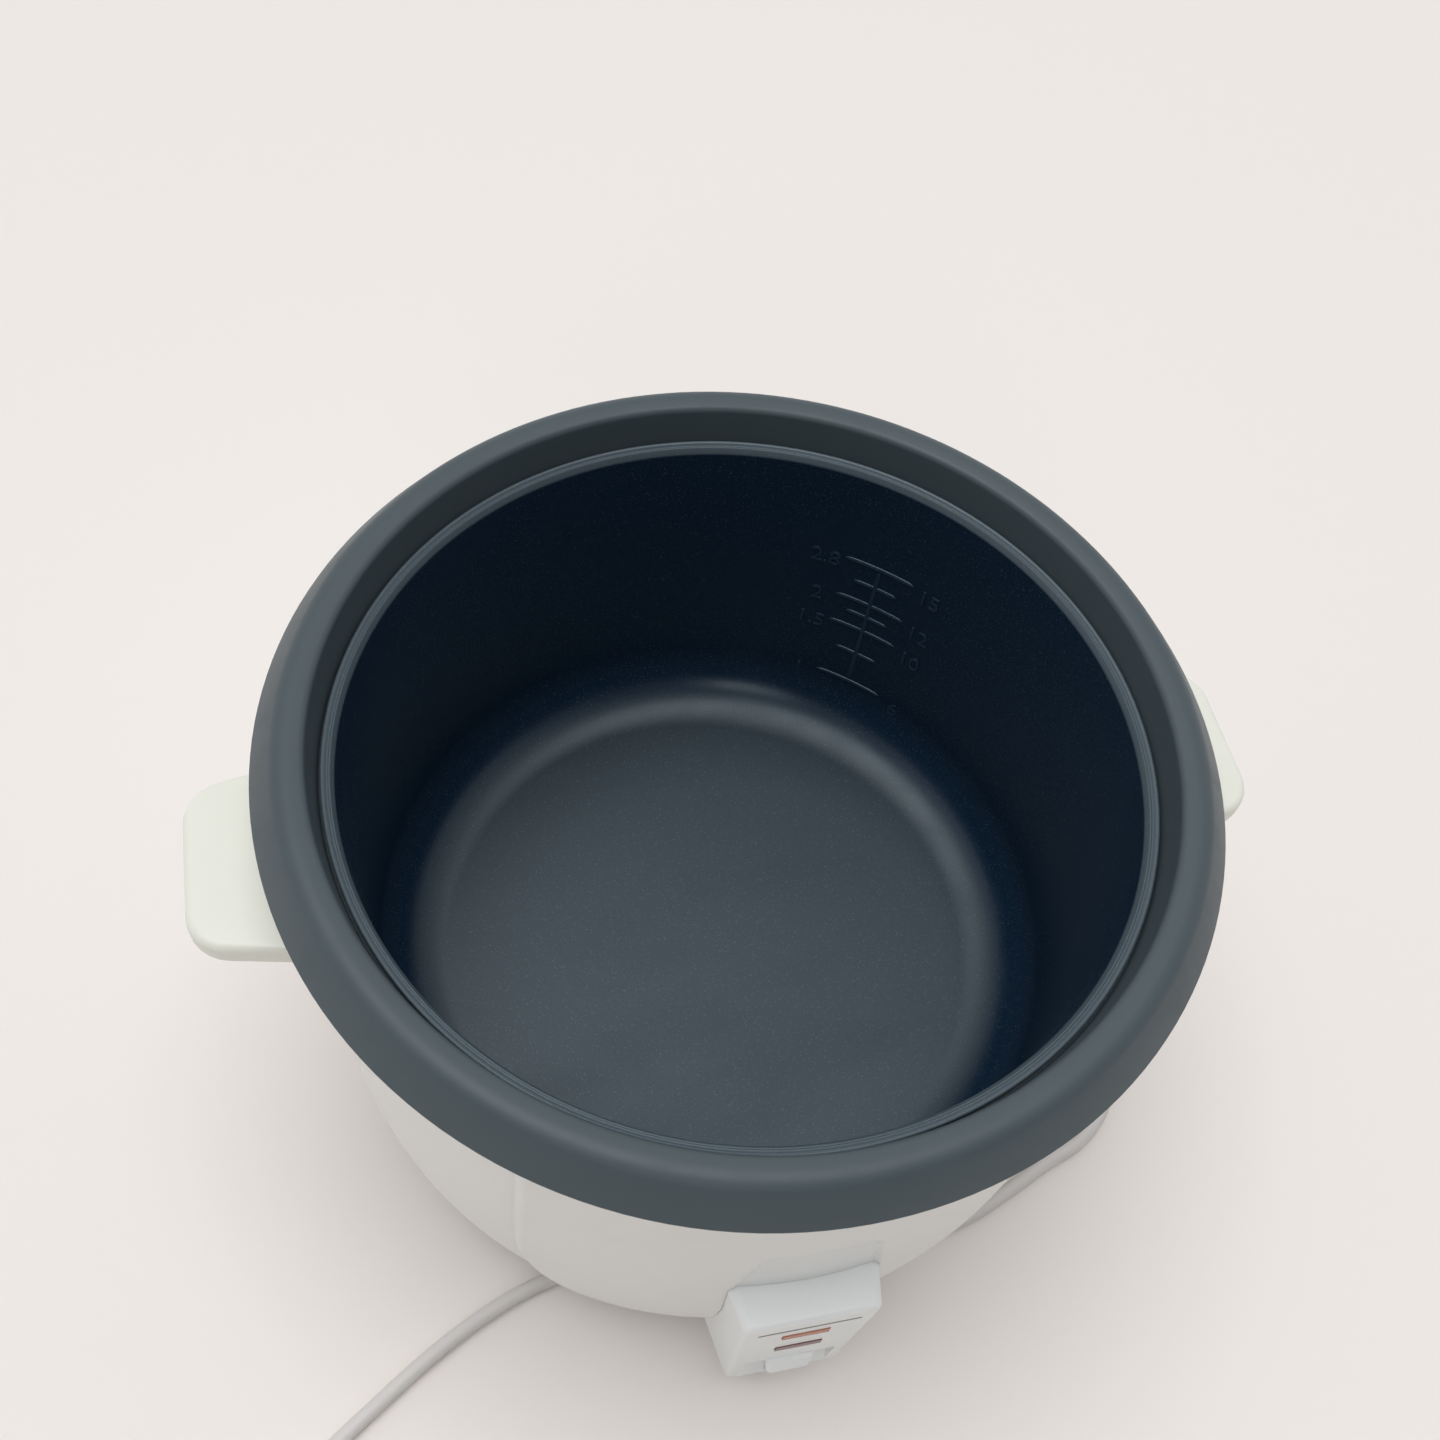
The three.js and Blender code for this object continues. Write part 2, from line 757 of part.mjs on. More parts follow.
function bodyShell() {
  const lipTop = bodyFloorHeight + floorLipThickness;
  const profile = [
    ...sideProfile(0, bodyFloorHeight, bodyTopHeight),
    ...sideProfile(-bodyWall, lipTop, bodyTopHeight).reverse(),
    [floorLipRadius, lipTop],
    [floorLipRadius, bodyFloorHeight],
  ];
  const bossBack = glandFaceY - cordBossLength;
  const boss = bar(cordBossRadius, cordBossLength, alongY, [0, bossBack, glandHeight], innerSides);
  const bore = bar(
    glandNeckRadius + clearance,
    cordBossLength + 2 * overrun,
    alongY,
    [0, bossBack - overrun, glandHeight],
    2 * smallSides,
  );
  const window = block(
    [-boxOpeningHalfWidth, -boxReach, boxBottomHeight + boxWall + openingMargin],
    [boxOpeningHalfWidth, -bodyRadius + tuckDepth, boxTopHeight - boxWall - openingMargin],
  );
  const holes = handleScrewPlaces().map(([x, y, z]) =>
    bar(screwRadius + clearance, 2 * overrun, alongX, [x - overrun, y, z]),
  );
  addPiece('body_shell', cut(join(revolve(profile), boss), bore, window, ...holes), whitePlastic);
}

function boxOutline(inset) {
  const bottom = boxBottomHeight + inset;
  const top = boxTopHeight - inset;
  const lower = boxBottomHalfWidth - inset;
  const upper = boxTopHalfWidth - inset;
  return outline([
    [-lower, bottom, boxLowerRound],
    [lower, bottom, boxLowerRound],
    [upper, top, boxUpperRound],
    [-upper, top, boxUpperRound],
  ]);
}

// Draws a form's sides out toward the body, so that the box comes off its mould.
function flareSides(geometry) {
  const place = geometry.attributes.position;
  for (let i = 0; i < place.count; i += 1) {
    const reach = 1 + (boxFlareShare * (place.getY(i) + boxReach)) / boxTopHalfWidth;
    place.setX(i, place.getX(i) * reach);
  }
}

// The switch box's filled outer form, leaning like its face, from its face back into the body.
function boxForm(inset, front, back, extra = {}) {
  const geometry = thicken(boxOutline(inset), back - front, extra);
  geometry.rotateX(Math.PI / 2);
  geometry.translate(0, back, 0);
  flareSides(geometry);
  const lean = boxLean / (boxTopHeight - boxBottomHeight);
  geometry.translate(0, 0, -boxTopHeight);
  geometry.applyMatrix4(new THREE.Matrix4().makeShear(0, 0, 0, 0, 0, -lean));
  geometry.translate(0, 0, boxTopHeight);
  return toSolid(geometry);
}

function frontPanel() {
  const bottom = panelBottomHeight - overrun;
  const outer = clearance + panelThickness;
  const band = revolve([
    ...sideProfile(outer, bottom, panelTopHeight),
    ...sideProfile(clearance, bottom, panelTopHeight).reverse(),
  ]);
  const face = outline([
    [-panelHalfWidth, panelBottomHeight, panelCornerRound],
    [panelHalfWidth, panelBottomHeight, panelCornerRound],
    [panelHalfWidth, panelTopHeight],
    [-panelHalfWidth, panelTopHeight],
  ]);
  const dishTop = boxTopHeight + dishHeight;
  const dishFoot = dishTopHalfWidth + dishSpread;
  const dish = frontSlab(
    outline([
      [-dishFoot, boxTopHeight - boxWall],
      [dishFoot, boxTopHeight - boxWall],
      [dishTopHalfWidth, dishTop, dishRound],
      [-dishTopHalfWidth, dishTop, dishRound],
    ]),
    -boxReach - overrun,
    -bodyRadius + tuckDepth,
  );
  const dishFloor = insideOfSide(outer - dishDepth, bottom, panelTopHeight);
  const front = frontSlab(face, -boxReach - overrun, -bodyRadius + tuckDepth + overrun);
  const boxHole = boxForm(-clearance, -boxReach - overrun, -bodyRadius + tuckDepth);
  const panel = cut(band.intersect(front), cut(dish, dishFloor), boxHole);
  addPiece('front_panel', panel, whitePlastic);
}

function switchBox() {
  const back = -bodyRadius + tuckDepth + overrun;
  const outer = boxForm(boxLipRound, boxLipRound - boxReach, back, {
    bevelEnabled: true,
    bevelSize: boxLipRound,
    bevelThickness: boxLipRound,
    bevelSegments: edgeSteps,
  });
  const cavity = boxForm(boxWall, boxWall - boxReach, back + overrun);
  const body = insideOfSide(clearance, bodyFloorHeight - overrun, bodyTopHeight);
  const top = pocketTopHeight;
  const bottom = pocketBottomHeight;
  const backing = sideSlab(
    outline([
      [boxFaceAt(top) + boxWall / 2, top + boxWall],
      [boxFaceAt(top) + pocketDepth + boxWall, top + boxWall],
      [boxFaceAt(bottom) + 2 * boxWall, bottom - boxWall],
      [boxFaceAt(bottom) + boxWall / 2, bottom - boxWall],
    ]),
    -pocketHalfWidth - boxWall,
    pocketHalfWidth + boxWall,
  );
  const pocket = sideSlab(
    outline([
      [boxFaceAt(top) - overrun, top],
      [boxFaceAt(top) + pocketDepth, top],
      [boxFaceAt(bottom), bottom],
      [boxFaceAt(bottom) - overrun, bottom],
    ]),
    -pocketHalfWidth,
    pocketHalfWidth,
  );
  const slotHalf = stemHalfWidth + slotMargin;
  const slot = block(
    [-slotHalf, -boxReach, stemBottomHeight - leverDrop - slotMargin],
    [slotHalf, back, Math.min(stemTopHeight + slotMargin, top)],
  );
  const windows = [cookWindowHeight, warmWindowHeight].map((height) =>
    block(
      [-windowWidth / 2, -boxReach - overrun, height - windowHeight / 2],
      [windowWidth / 2, back, height + windowHeight / 2],
    ),
  );
  const shell = join(cut(outer, cavity), backing);
  addPiece('switch_box', cut(shell, body, pocket, slot, ...windows), whitePlastic);
}

function lampLens(name, height, material) {
  const face = boxFaceAt(height);
  const inner = face + boxWall + clearance;
  const halfWidth = windowWidth / 2;
  const halfHeight = windowHeight / 2;
  const lens = block(
    [clearance - halfWidth, face - lensProud, height + clearance - halfHeight],
    [halfWidth - clearance, inner + lensFlange, height + halfHeight - clearance],
  );
  const flange = block(
    [-halfWidth - lensFlangeMargin, inner, height - halfHeight - lensFlangeMargin],
    [halfWidth + lensFlangeMargin, inner + lensFlange, height + halfHeight + lensFlangeMargin],
  );
  addPiece(name, join(lens, flange), material);
}

// Behind a lens: its flange, then the lamp, then the holder on the body's side.
function lampFrontAt(height) {
  return boxFaceAt(height) + boxWall + lensFlange + 2 * clearance;
}

function lamp(name, height) {
  const y = lampFrontAt(height) + lampRadius;
  addPiece(name, bar(lampRadius, lampLength, alongX, [-lampLength / 2, y, height]), lampGlass);
}

function lampHolder() {
  const top = cookWindowHeight + lampHolderMargin;
  const bottom = warmWindowHeight - lampHolderMargin;
  const front = lampFrontAt(bottom) + 2 * lampRadius + clearance;
  const plate = block(
    [-lampHolderHalfWidth, front, bottom],
    [lampHolderHalfWidth, front + boxProud, top],
  );
  const body = insideOfSide(clearance, bodyFloorHeight, bodyTopHeight);
  addPiece('lamp_holder', cut(plate, body), blackPlastic);
}

function handleScrewPlaces() {
  const height = handleTopHeight - handleThickness / 2;
  const places = [];
  for (const side of [-1, 1]) {
    for (const across of [-1, 1]) {
      const y = across * handleScrewHalfSpacing;
      const x = Math.sqrt(bodyRadiusAt(height) ** 2 - y * y);
      places.push([side * x, y, height]);
    }
  }
  return places;
}

function handle(name, side) {
  const bottom = handleTopHeight - handleThickness;
  const root = bodyRadius - handleEdgeRound;
  const tip = bodyTopRadius + handleReach;
  const grow = handleEdgeRound;
  const form = flatSlab(
    outline([
      [side * root, side * (grow - handleRootHalfWidth)],
      [side * (tip - grow), side * (grow - handleTipHalfWidth), handleCornerRound],
      [side * (tip - grow), side * (handleTipHalfWidth - grow), handleCornerRound],
      [side * root, side * (handleRootHalfWidth - grow)],
    ]),
    bottom + grow,
    handleTopHeight - grow,
    { bevelEnabled: true, bevelSize: grow, bevelThickness: grow, bevelSegments: edgeSteps },
  );
  const hollowRoot = bodyTopRadius + handleRootWall;
  const hollowTip = tip - handleWall;
  const hollow = flatSlab(
    outline([
      [side * hollowRoot, side * (handleWall - handleTipHalfWidth)],
      [side * hollowTip, side * (handleWall - handleTipHalfWidth), handleCornerRound],
      [side * hollowTip, side * (handleTipHalfWidth - handleWall), handleCornerRound],
      [side * hollowRoot, side * (handleTipHalfWidth - handleWall)],
    ]),
    bottom - overrun,
    handleTopHeight - handleWall,
  );
  const body = insideOfSide(clearance, bodyFloorHeight, bodyTopHeight);
  const bores = handleScrewPlaces()
    .filter(([x]) => x * side > 0)
    .map(([x, y, z]) => bar(
      screwRadius + clearance,
      handleScrewBite + clearance + bodyWall,
      side > 0 ? alongX : againstX,
      [x - side * bodyWall, y, z],
    ));
  addPiece(name, cut(form, hollow, body, ...bores), handlePlastic);
}

function handleScrews() {
  handleScrewPlaces().forEach(([x, y, z], i) => {
    const side = Math.sign(x);
    const seat = Math.sqrt((bodyRadiusAt(z) - bodyWall - clearance) ** 2
      - (handleScrewHalfSpacing + screwHeadRadius) ** 2);
    const start = side * (seat - screwHeadThickness);
    const length = Math.abs(x) + handleScrewBite - bodyWall - seat;
    const axis = side > 0 ? alongX : againstX;
    addPiece(`handle_screw_${i + 1}`, screw(length, axis, [start, y, z]), zincSteel);
  });
}

function innerPot() {
  const filletR = potSideRadius - potFillet;
  const filletZ = potFloorHeight + potFillet;
  const outerFillet = potFillet + potFloorThickness;
  const profile = [
    [0, potUnderHeight],
    ...arc(filletR, filletZ, outerFillet, -90, 0),
    [potMouthRadius + potWall, potMouthHeight - potWall],
    [potFlangeRadius - potWall / 4, potFlangeHeight - potWall],
    [potFlangeRadius, potFlangeHeight - potWall / 2],
    [potFlangeRadius - potWall / 4, potFlangeHeight],
    [potMouthRadius + potWall / 2, potMouthHeight + potWall / 4],
    [potMouthRadius, potMouthHeight - potWall / 2],
    ...arc(filletR, filletZ, potFillet, 0, -90),
    [0, potFloorHeight],
  ];
  addPiece('inner_pot', revolve(profile), potCoating);
}

function potWell() {
  const filletR = wellSideRadius - wellFillet;
  const filletZ = wellFloorTop + wellFillet;
  const flangeUnder = wellTopHeight - wellWall;
  const profile = [
    [wellHoleRadius, wellFloorHeight],
    ...arc(filletR, filletZ, wellFillet + wellWall, -90, 0),
    [wellMouthRadius + wellWall, flangeUnder],
    [wellMouthRadius + wellFlangeWidth, flangeUnder],
    [wellMouthRadius + wellFlangeWidth, wellTopHeight],
    [wellMouthRadius, wellTopHeight],
    ...arc(filletR, filletZ, wellFillet, 0, -90),
    [wellHoleRadius, wellFloorTop],
  ];
  const depth = 2 * overrun;
  const start = wellFloorHeight - overrun;
  const screwHoles = plateLegPlaces.map(([x, y]) =>
    bar(screwRadius + clearance, depth, alongZ, [x, y, start]),
  );
  const terminalHoles = terminalPlaces().map(([x, y]) =>
    bar(terminalRadius + terminalHoleMargin, depth, alongZ, [x, y, start]),
  );
  addPiece('pot_well', cut(revolve(profile, wellSides), ...screwHoles, ...terminalHoles), zincSteel);
}

function heatingPlate() {
  const under = plateUnderHeight;
  const profile = [
    [plateHoleRadius, under],
    [elementCircle - elementRadius, under],
    ...arc(elementCircle, under, elementRadius, 180, 360).slice(1, -1),
    [elementCircle + elementRadius, under],
    [plateRadius, under],
    [plateRadius, plateTopHeight - plateEdgeChamfer],
    [plateRadius - plateEdgeChamfer, plateTopHeight],
    [plateHoleRadius, plateTopHeight],
  ];
  const legStart = wellFloorTop + clearance;
  const legs = plateLegPlaces.map(([x, y]) =>
    bar(plateLegRadius, plateLegLength + clearance, alongZ, [x, y, legStart]),
  );
  const bores = plateLegPlaces.map(([x, y]) =>
    bar(screwRadius + clearance, plateLegBoreDepth + overrun, alongZ, [x, y, legStart - overrun]),
  );
  addPiece('heating_plate', cut(join(revolve(profile, innerSides), ...legs), ...bores), castAluminium);
}

function plateScrews() {
  const headFace = wellFloorHeight - clearance - screwHeadThickness;
  const length = clearance + wellWall + plateLegBoreDepth;
  plateLegPlaces.forEach(([x, y], i) => {
    addPiece(`plate_screw_${i + 1}`, screw(length, alongZ, [x, y, headFace]), zincSteel);
  });
}

// The element's two ends come out under the plate, behind the middle.
function terminalPlaces() {
  const behind = Math.sqrt(elementCircle ** 2 - terminalHalfSpacing ** 2);
  return [[-terminalHalfSpacing, behind], [terminalHalfSpacing, behind]];
}

function elementTerminals() {
  const top = plateUnderHeight - elementRadius - clearance;
  const names = ['element_terminal_left', 'element_terminal_right'];
  terminalPlaces().forEach(([x, y], i) => {
    const pin = bar(terminalRadius, terminalLength, alongZ, [x, y, top - terminalLength]);
    addPiece(names[i], pin, brassAlloy);
  });
}

function thermostat() {
  const ceiling = plateTopHeight - capWall;
  const capFoot = plateUnderHeight - clearance - capLipThickness;
  const cap = revolve([
    [0, ceiling],
    [capRadius - capWall, ceiling],
    [capRadius - capWall, capFoot],
    [capRadius + capLipWidth, capFoot],
    [capRadius + capLipWidth, capFoot + capLipThickness],
    [capRadius, capFoot + capLipThickness],
    [capRadius, plateTopHeight],
    [0, plateTopHeight],
  ], innerSides);
  addPiece('sensor_cap', cap, castAluminium);

  const ferriteTop = ceiling - clearance;
  const ferrite = bar(ferriteRadius, ferriteHeight, alongZ, [0, 0, ferriteTop - ferriteHeight]);
  addPiece('ferrite_slug', ferrite, ferriteBlack);

  const rodFoot = leverRearTop + clearance;
  const plunger = revolve([
    [0, rodFoot],
    [plungerRodRadius, rodFoot],
    [plungerRodRadius, magnetTopHeight - magnetHeight],
    [magnetRadius, magnetTopHeight - magnetHeight],
    [magnetRadius, magnetTopHeight],
    [0, magnetTopHeight],
  ], smallSides);
  addPiece('magnet_plunger', plunger, springSteel);

  const seat = holderHeight + holderThickness + clearance;
  const bore = magnetRadius + housingRunningGap;
  const housing = revolve([
    [plungerRodRadius + housingRunningGap, seat],
    [bore + housingWall + housingFlangeWidth, seat],
    [bore + housingWall + housingFlangeWidth, seat + housingWall],
    [bore + housingWall, seat + housingWall],
    [bore + housingWall, seat + housingHeight],
    [bore, seat + housingHeight],
    [bore, seat + housingWall],
    [plungerRodRadius + housingRunningGap, seat + housingWall],
  ], innerSides);
  addPiece('thermostat_housing', housing, zincSteel);

  const foot = seat + housingWall + clearance;
  const top = ceiling - clearance;
  const spring = helix(capSpringRadius, capSpringWire, capSpringCurls, foot, top);
  addPiece('sensor_spring', woundTube(spring, capSpringWire, curlSides), springSteel);
}

// The path of a spring's wire about the Z axis, between the heights of its two ends.
function helix(radius, wire, curls, bottom, top) {
  const steps = curls * curlSteps;
  const rise = top - bottom - wire;
  const path = [];
  for (let i = 0; i <= steps; i++) {
    const angle = (turn * i) / curlSteps;
    const z = bottom + wire / 2 + (rise * i) / steps;
    path.push(new THREE.Vector3(radius * Math.cos(angle), radius * Math.sin(angle), z));
  }
  return withStraightEnds(path, wire);
}

// The same path with a straight end of one diameter in place of its first and last reach.
function withStraightEnds(path, diameter) {
  const start = path[0].clone().sub(path[1]).setLength(diameter).add(path[0]);
  const count = path.length;
  const end = path[count - 1].clone().sub(path[count - 2]).setLength(diameter).add(path[count - 1]);
  return [start, ...path, end];
}

function thermostatHolder() {
  const top = wellFloorHeight - clearance;
  const inner = wellHoleRadius + holderThickness;
  const under = holderHeight;
  const shape = outline([
    [-inner - holderThickness, under],
    [inner + holderThickness, under],
    [inner + holderThickness, top - holderThickness],
    [inner + holderFootWidth, top - holderThickness],
    [inner + holderFootWidth, top],
    [inner, top],
    [inner, under + holderThickness],
    [-inner, under + holderThickness],
    [-inner, top],
    [-inner - holderFootWidth, top],
    [-inner - holderFootWidth, top - holderThickness],
    [-inner - holderThickness, top - holderThickness],
  ]);
  const strip = frontSlab(shape, -holderWidth / 2, holderWidth / 2);
  const hole = bar(plungerRodRadius + housingRunningGap, 2 * overrun, alongZ, [0, 0, under - overrun]);
  addPiece('thermostat_holder', cut(strip, hole), zincSteel);
}

function leverBar() {
  const pivot = -pivotOffset;
  const boss = leverBossRadius;
  const front = boxFaceAt(stemTopHeight) + pocketDepth + stemLength - stemSocketLength;
  const grip = clearance * 2;
  const neck = front + stemSocketLength;
  const shape = outline([
    [leverRearReach, leverRearTop],
    [pivot + 2 * boss, leverRearTop],
    [pivot + boss / 2, pivotHeight + boss, leverCornerRound],
    [pivot - boss / 2, pivotHeight + boss, leverCornerRound],
    [neck, stemTopHeight - grip],
    [front, stemTopHeight - grip],
    [front, stemBottomHeight + grip],
    [neck, stemBottomHeight + grip],
    [pivot - boss / 2, pivotHeight - boss, leverCornerRound],
    [pivot + boss / 2, pivotHeight - boss, leverCornerRound],
    [pivot + 2 * boss, leverRearTop - leverRearDepth],
    [leverRearReach, leverRearTop - leverRearDepth],
  ], [circle(pinRadius + clearance, pivot, pivotHeight)]);
  addPiece('lever_bar', sideSlab(shape, -leverThickness / 2, leverThickness / 2), zincSteel);
}

function leverTab() {
  const top = pocketTopHeight - tabTopGap;
  const face = boxFaceAt(top);
  const heel = boxFaceAt(top - tabHeelFall) - tabHeelGap;
  const back = face + pocketDepth / 2;
  const head = sideSlab(
    outline([
      [back, top, tabRound],
      [face - tabProud + tabRound, top, tabRound],
      [face - tabProud, top - tabFrontFall, tabRound],
      [heel, top - tabHeelFall, tabRound],
      [back, top - tabBackFall],
    ]),
    tabRound - tabHalfWidth,
    tabHalfWidth - tabRound,
    { bevelEnabled: true, bevelSize: 0, bevelThickness: tabRound, bevelSegments: 1 },
  );
  const plan = flatSlab(
    outline([
      [-tabHalfWidth, back],
      [-tabHalfWidth, face],
      [-tabFrontHalfWidth, face - tabProud],
      [tabFrontHalfWidth, face - tabProud],
      [tabHalfWidth, face],
      [tabHalfWidth, back],
    ]),
    top - tabHeelFall - overrun,
    top + overrun,
  );
  const stemBack = boxFaceAt(stemTopHeight) + pocketDepth + stemLength;
  const stem = block(
    [-stemHalfWidth, face - tabProud / 2, stemBottomHeight],
    [stemHalfWidth, stemBack, stemTopHeight],
  );
  const half = leverThickness / 2 + clearance;
  const socket = block(
    [-half, stemBack - stemSocketLength - clearance, stemBottomHeight + clearance],
    [half, stemBack + overrun, stemTopHeight - clearance],
  );
  addPiece('lever_tab', cut(join(head.intersect(plan), stem), socket), whitePlastic);
}

function leverPivot() {
  const inner = bracketInnerWidth / 2;
  const outer = inner + bracketThickness;
  const floor = baseTopHeight + clearance;
  const crown = pivotHeight + bracketCrown;
  const shape = outline([
    [-outer, floor],
    [outer, floor],
    [outer, crown],
    [inner, crown],
    [inner, floor + bracketThickness],
    [-inner, floor + bracketThickness],
    [-inner, crown],
    [-outer, crown],
  ]);
  const front = -pivotOffset - bracketLength / 2;
  const frame = frontSlab(shape, front, front + bracketLength);
  const bore = bar(
    pinRadius + clearance,
    2 * outer + 2 * overrun,
    alongX,
    [-outer - overrun, -pivotOffset, pivotHeight],
  );
  addPiece('lever_bracket', cut(frame, bore), zincSteel);

  const headFace = -outer - clearance - pinHeadThickness;
  const pin = turned([
    [0, 0],
    [pinHeadRadius, 0],
    [pinHeadRadius, pinHeadThickness],
    [pinRadius, pinHeadThickness],
    [pinRadius, 2 * outer + 2 * pinHeadThickness],
    [0, 2 * outer + 2 * pinHeadThickness],
  ], alongX, [headFace, -pivotOffset, pivotHeight]);
  addPiece('lever_pin', pin, springSteel);

  const bushLength = inner - leverThickness / 2 - 2 * clearance;
  const bushInner = pinRadius + clearance;
  const bush = turned([
    [bushInner, 0],
    [bushInner + bushWall, 0],
    [bushInner + bushWall, bushLength],
    [bushInner, bushLength],
    [bushInner, 0],
  ], alongX, [-inner + clearance, -pivotOffset, pivotHeight]);
  addPiece('pivot_bush', bush, brassAlloy);

  const springStart = leverThickness / 2 + clearance;
  const springEnd = inner - clearance;
  const path = helix(leverSpringRadius, leverSpringWire, leverSpringCurls, springStart, springEnd);
  const wound = woundTube(path, leverSpringWire, curlSides);
  const laid = wound.rotate([0, 90, 0]).translate([0, -pivotOffset, pivotHeight]);
  addPiece('lever_spring', laid, springSteel);
}

function basePlate() {
  const disc = new THREE.Shape();
  ringPlaces(roundSides, baseRadius, 0).forEach(([x, y], i) => {
    if (i === 0) disc.moveTo(x, y);
    else disc.lineTo(x, y);
  });
  disc.closePath();
  for (const [x, y] of standoffPlaces) disc.holes.push(circle(screwRadius + clearance, x, y));
  for (const [x, y] of footPlaces) disc.holes.push(circle(footPegRadius + clearance, x, y));
  for (let i = 0; i < ventCount; i++) {
    const angle = (turn * (i + 0.5)) / ventCount;
    const along = new THREE.Vector2(Math.cos(angle), Math.sin(angle));
    const across = new THREE.Vector2(-along.y, along.x).multiplyScalar(ventWidth / 2);
    const inner = along.clone().multiplyScalar(ventInnerRadius);
    const outer = along.clone().multiplyScalar(ventOuterRadius);
    const corners = [
      inner.clone().sub(across),
      outer.clone().sub(across),
      outer.clone().add(across),
      inner.clone().add(across),
    ];
    disc.holes.push(new THREE.Path(corners));
  }
  addPiece('base_plate', flatSlab(disc, baseUnderHeight, baseTopHeight), zincSteel);
}

function feet() {
  const top = baseUnderHeight - clearance;
  footPlaces.forEach(([x, y], i) => {
    const foot = turned([
      [0, 0],
      [footRadius, 0],
      [footTopRadius, top],
      [footPegRadius, top],
      [footPegRadius, baseTopHeight + footPegReach],
      [0, baseTopHeight + footPegReach],
    ], alongZ, [x, y, 0], 2 * smallSides);
    addPiece(`foot_${i + 1}`, foot, rubber);
  });
}

function standoffs() {
  const bottom = baseTopHeight + clearance;
  const height = wellFloorHeight - clearance - bottom;
  const headFace = baseUnderHeight - clearance - screwHeadThickness;
  const screwLength = clearance + baseThickness + clearance + standoffBoreDepth - clearance;
  standoffPlaces.forEach(([x, y], i) => {
    const post = bar(standoffRadius, height, alongZ, [x, y, bottom]);
    const depth = standoffBoreDepth + overrun;
    const bore = bar(screwRadius + clearance, depth, alongZ, [x, y, bottom - overrun]);
    addPiece(`standoff_${i + 1}`, cut(post, bore), zincSteel);
    addPiece(`base_screw_${i + 1}`, screw(screwLength, alongZ, [x, y, headFace]), zincSteel);
  });
}

function microswitch() {
  const bottom = baseTopHeight + clearance;
  const top = bottom + switchHeight;
  const housing = block(
    [-switchWidth / 2, switchMiddle - switchLength / 2, bottom],
    [switchWidth / 2, switchMiddle + switchLength / 2, top],
  );
  const reach = switchButtonHeight + switchButtonRadius;
  const foot = top - switchButtonRadius;
  const button = bar(switchButtonRadius, reach, alongZ, [0, switchMiddle, foot]);
  addPiece('microswitch', join(housing, button), blackPlastic);
}

function terminalBlock() {
  const bottom = baseTopHeight + clearance;
  const body = block(
    [blockAside - blockLength / 2, blockBehind - blockWidth / 2, bottom],
    [blockAside + blockLength / 2, blockBehind + blockWidth / 2, bottom + blockHeight],
  );
  addPiece('terminal_block', body, whitePlastic);
}

function thermalFuse() {
  const height = wellFloorHeight - clearance - fuseRadius;
  const body = bar(fuseRadius, fuseLength, alongX, [-fuseLength / 2, fuseBehind, height]);
  addPiece('thermal_fuse', body, whitePlastic);
}

// A mica strip heater on the outside of the well's wall.
function keepWarmHeater() {
  const top = wellTopHeight - heaterTopDrop;
  const rise = wellTopHeight - wellFloorTop - wellFillet;
  const wallRadius = wellMouthRadius + wellWall - (wellDraft * heaterTopDrop) / rise;
  const inner = wallRadius + clearance;
  const half = THREE.MathUtils.degToRad(heaterSpanDegrees / 2);
  const shape = new THREE.Shape();
  shape.absarc(0, 0, inner + heaterThickness, -half, half, false);
  shape.absarc(0, 0, inner, half, -half, true);
  shape.closePath();
  const strip = flatSlab(shape, top - heaterHeight, top, { curveSegments: 2 * bendSteps });
  addPiece('keep_warm_heater', strip, mica);
}

function innerWires() {
  const blockTop = baseTopHeight + clearance + blockHeight + clearance;
  const terminalFoot = plateUnderHeight - elementRadius - clearance - terminalLength - clearance;
  const terminals = terminalPlaces();
  const low = terminalFoot - wireRise;
  const back = blockBehind + blockWidth / 4;
  const nearBlock = blockAside - blockLength / 4;
  const [rightX, rightY] = terminals[1];
  const [leftX, leftY] = terminals[0];
  const live = [
    [blockAside, blockBehind - blockWidth / 4, blockTop],
    [blockAside, blockBehind - blockWidth / 4, blockTop + wireRise / 2],
    [(blockAside + rightX) / 2, blockBehind - blockWidth / 4, low + wireRise / 2],
    [rightX + wireRise, rightY, low],
    [rightX, rightY, low + wireRise / 2],
    [rightX, rightY, terminalFoot],
  ];
  const neutral = [
    [nearBlock, back, blockTop],
    [nearBlock, back, blockTop + wireRise / 2],
    [rightX, back + wireRise / 2, low + wireRise / 4],
    [0, back, low],
    [leftX + wireRise / 2, (leftY + back) / 2, low],
    [leftX, leftY, low + wireRise / 2],
    [leftX, leftY, terminalFoot],
  ];
  addPiece('live_wire', tube(live, wireDiameter, wireSides, wireSteps), wireSheath);
  addPiece('neutral_wire', tube(neutral, wireDiameter, wireSides, wireSteps), wireSheath);
  addPiece('lamp_wire', tube(lampWireRoute(), wireDiameter, wireSides, 2 * wireSteps), wireSheath);
}

// From the block's side, low round the right of the base, then up through the body's front window.
function lampWireRoute() {
  const low = baseTopHeight + blockHeight / 2;
  const side = blockAside + blockLength / 2 + clearance;
  const under = warmWindowHeight - lampHolderMargin - clearance;
  const rise = boxOpeningHalfWidth - wireDiameter - clearance;
  const bodyFront = bodyRadiusAt(stemTopHeight);
  return [
    [side, blockBehind, low],
    [side + wireRise, blockBehind, low],
    ...lampWireShares.map(([x, y]) => [footCircle * x, footCircle * y, low]),
    [rise, -bodyFront + lampWireApproach, low + 2 * wireRise],
    [rise, -bodyFront + wireRise, stemTopHeight],
    [rise, lampWireDepth(), (stemTopHeight + under) / 2 + wireRise / 2],
    [rise, lampWireDepth(), under],
  ];
}

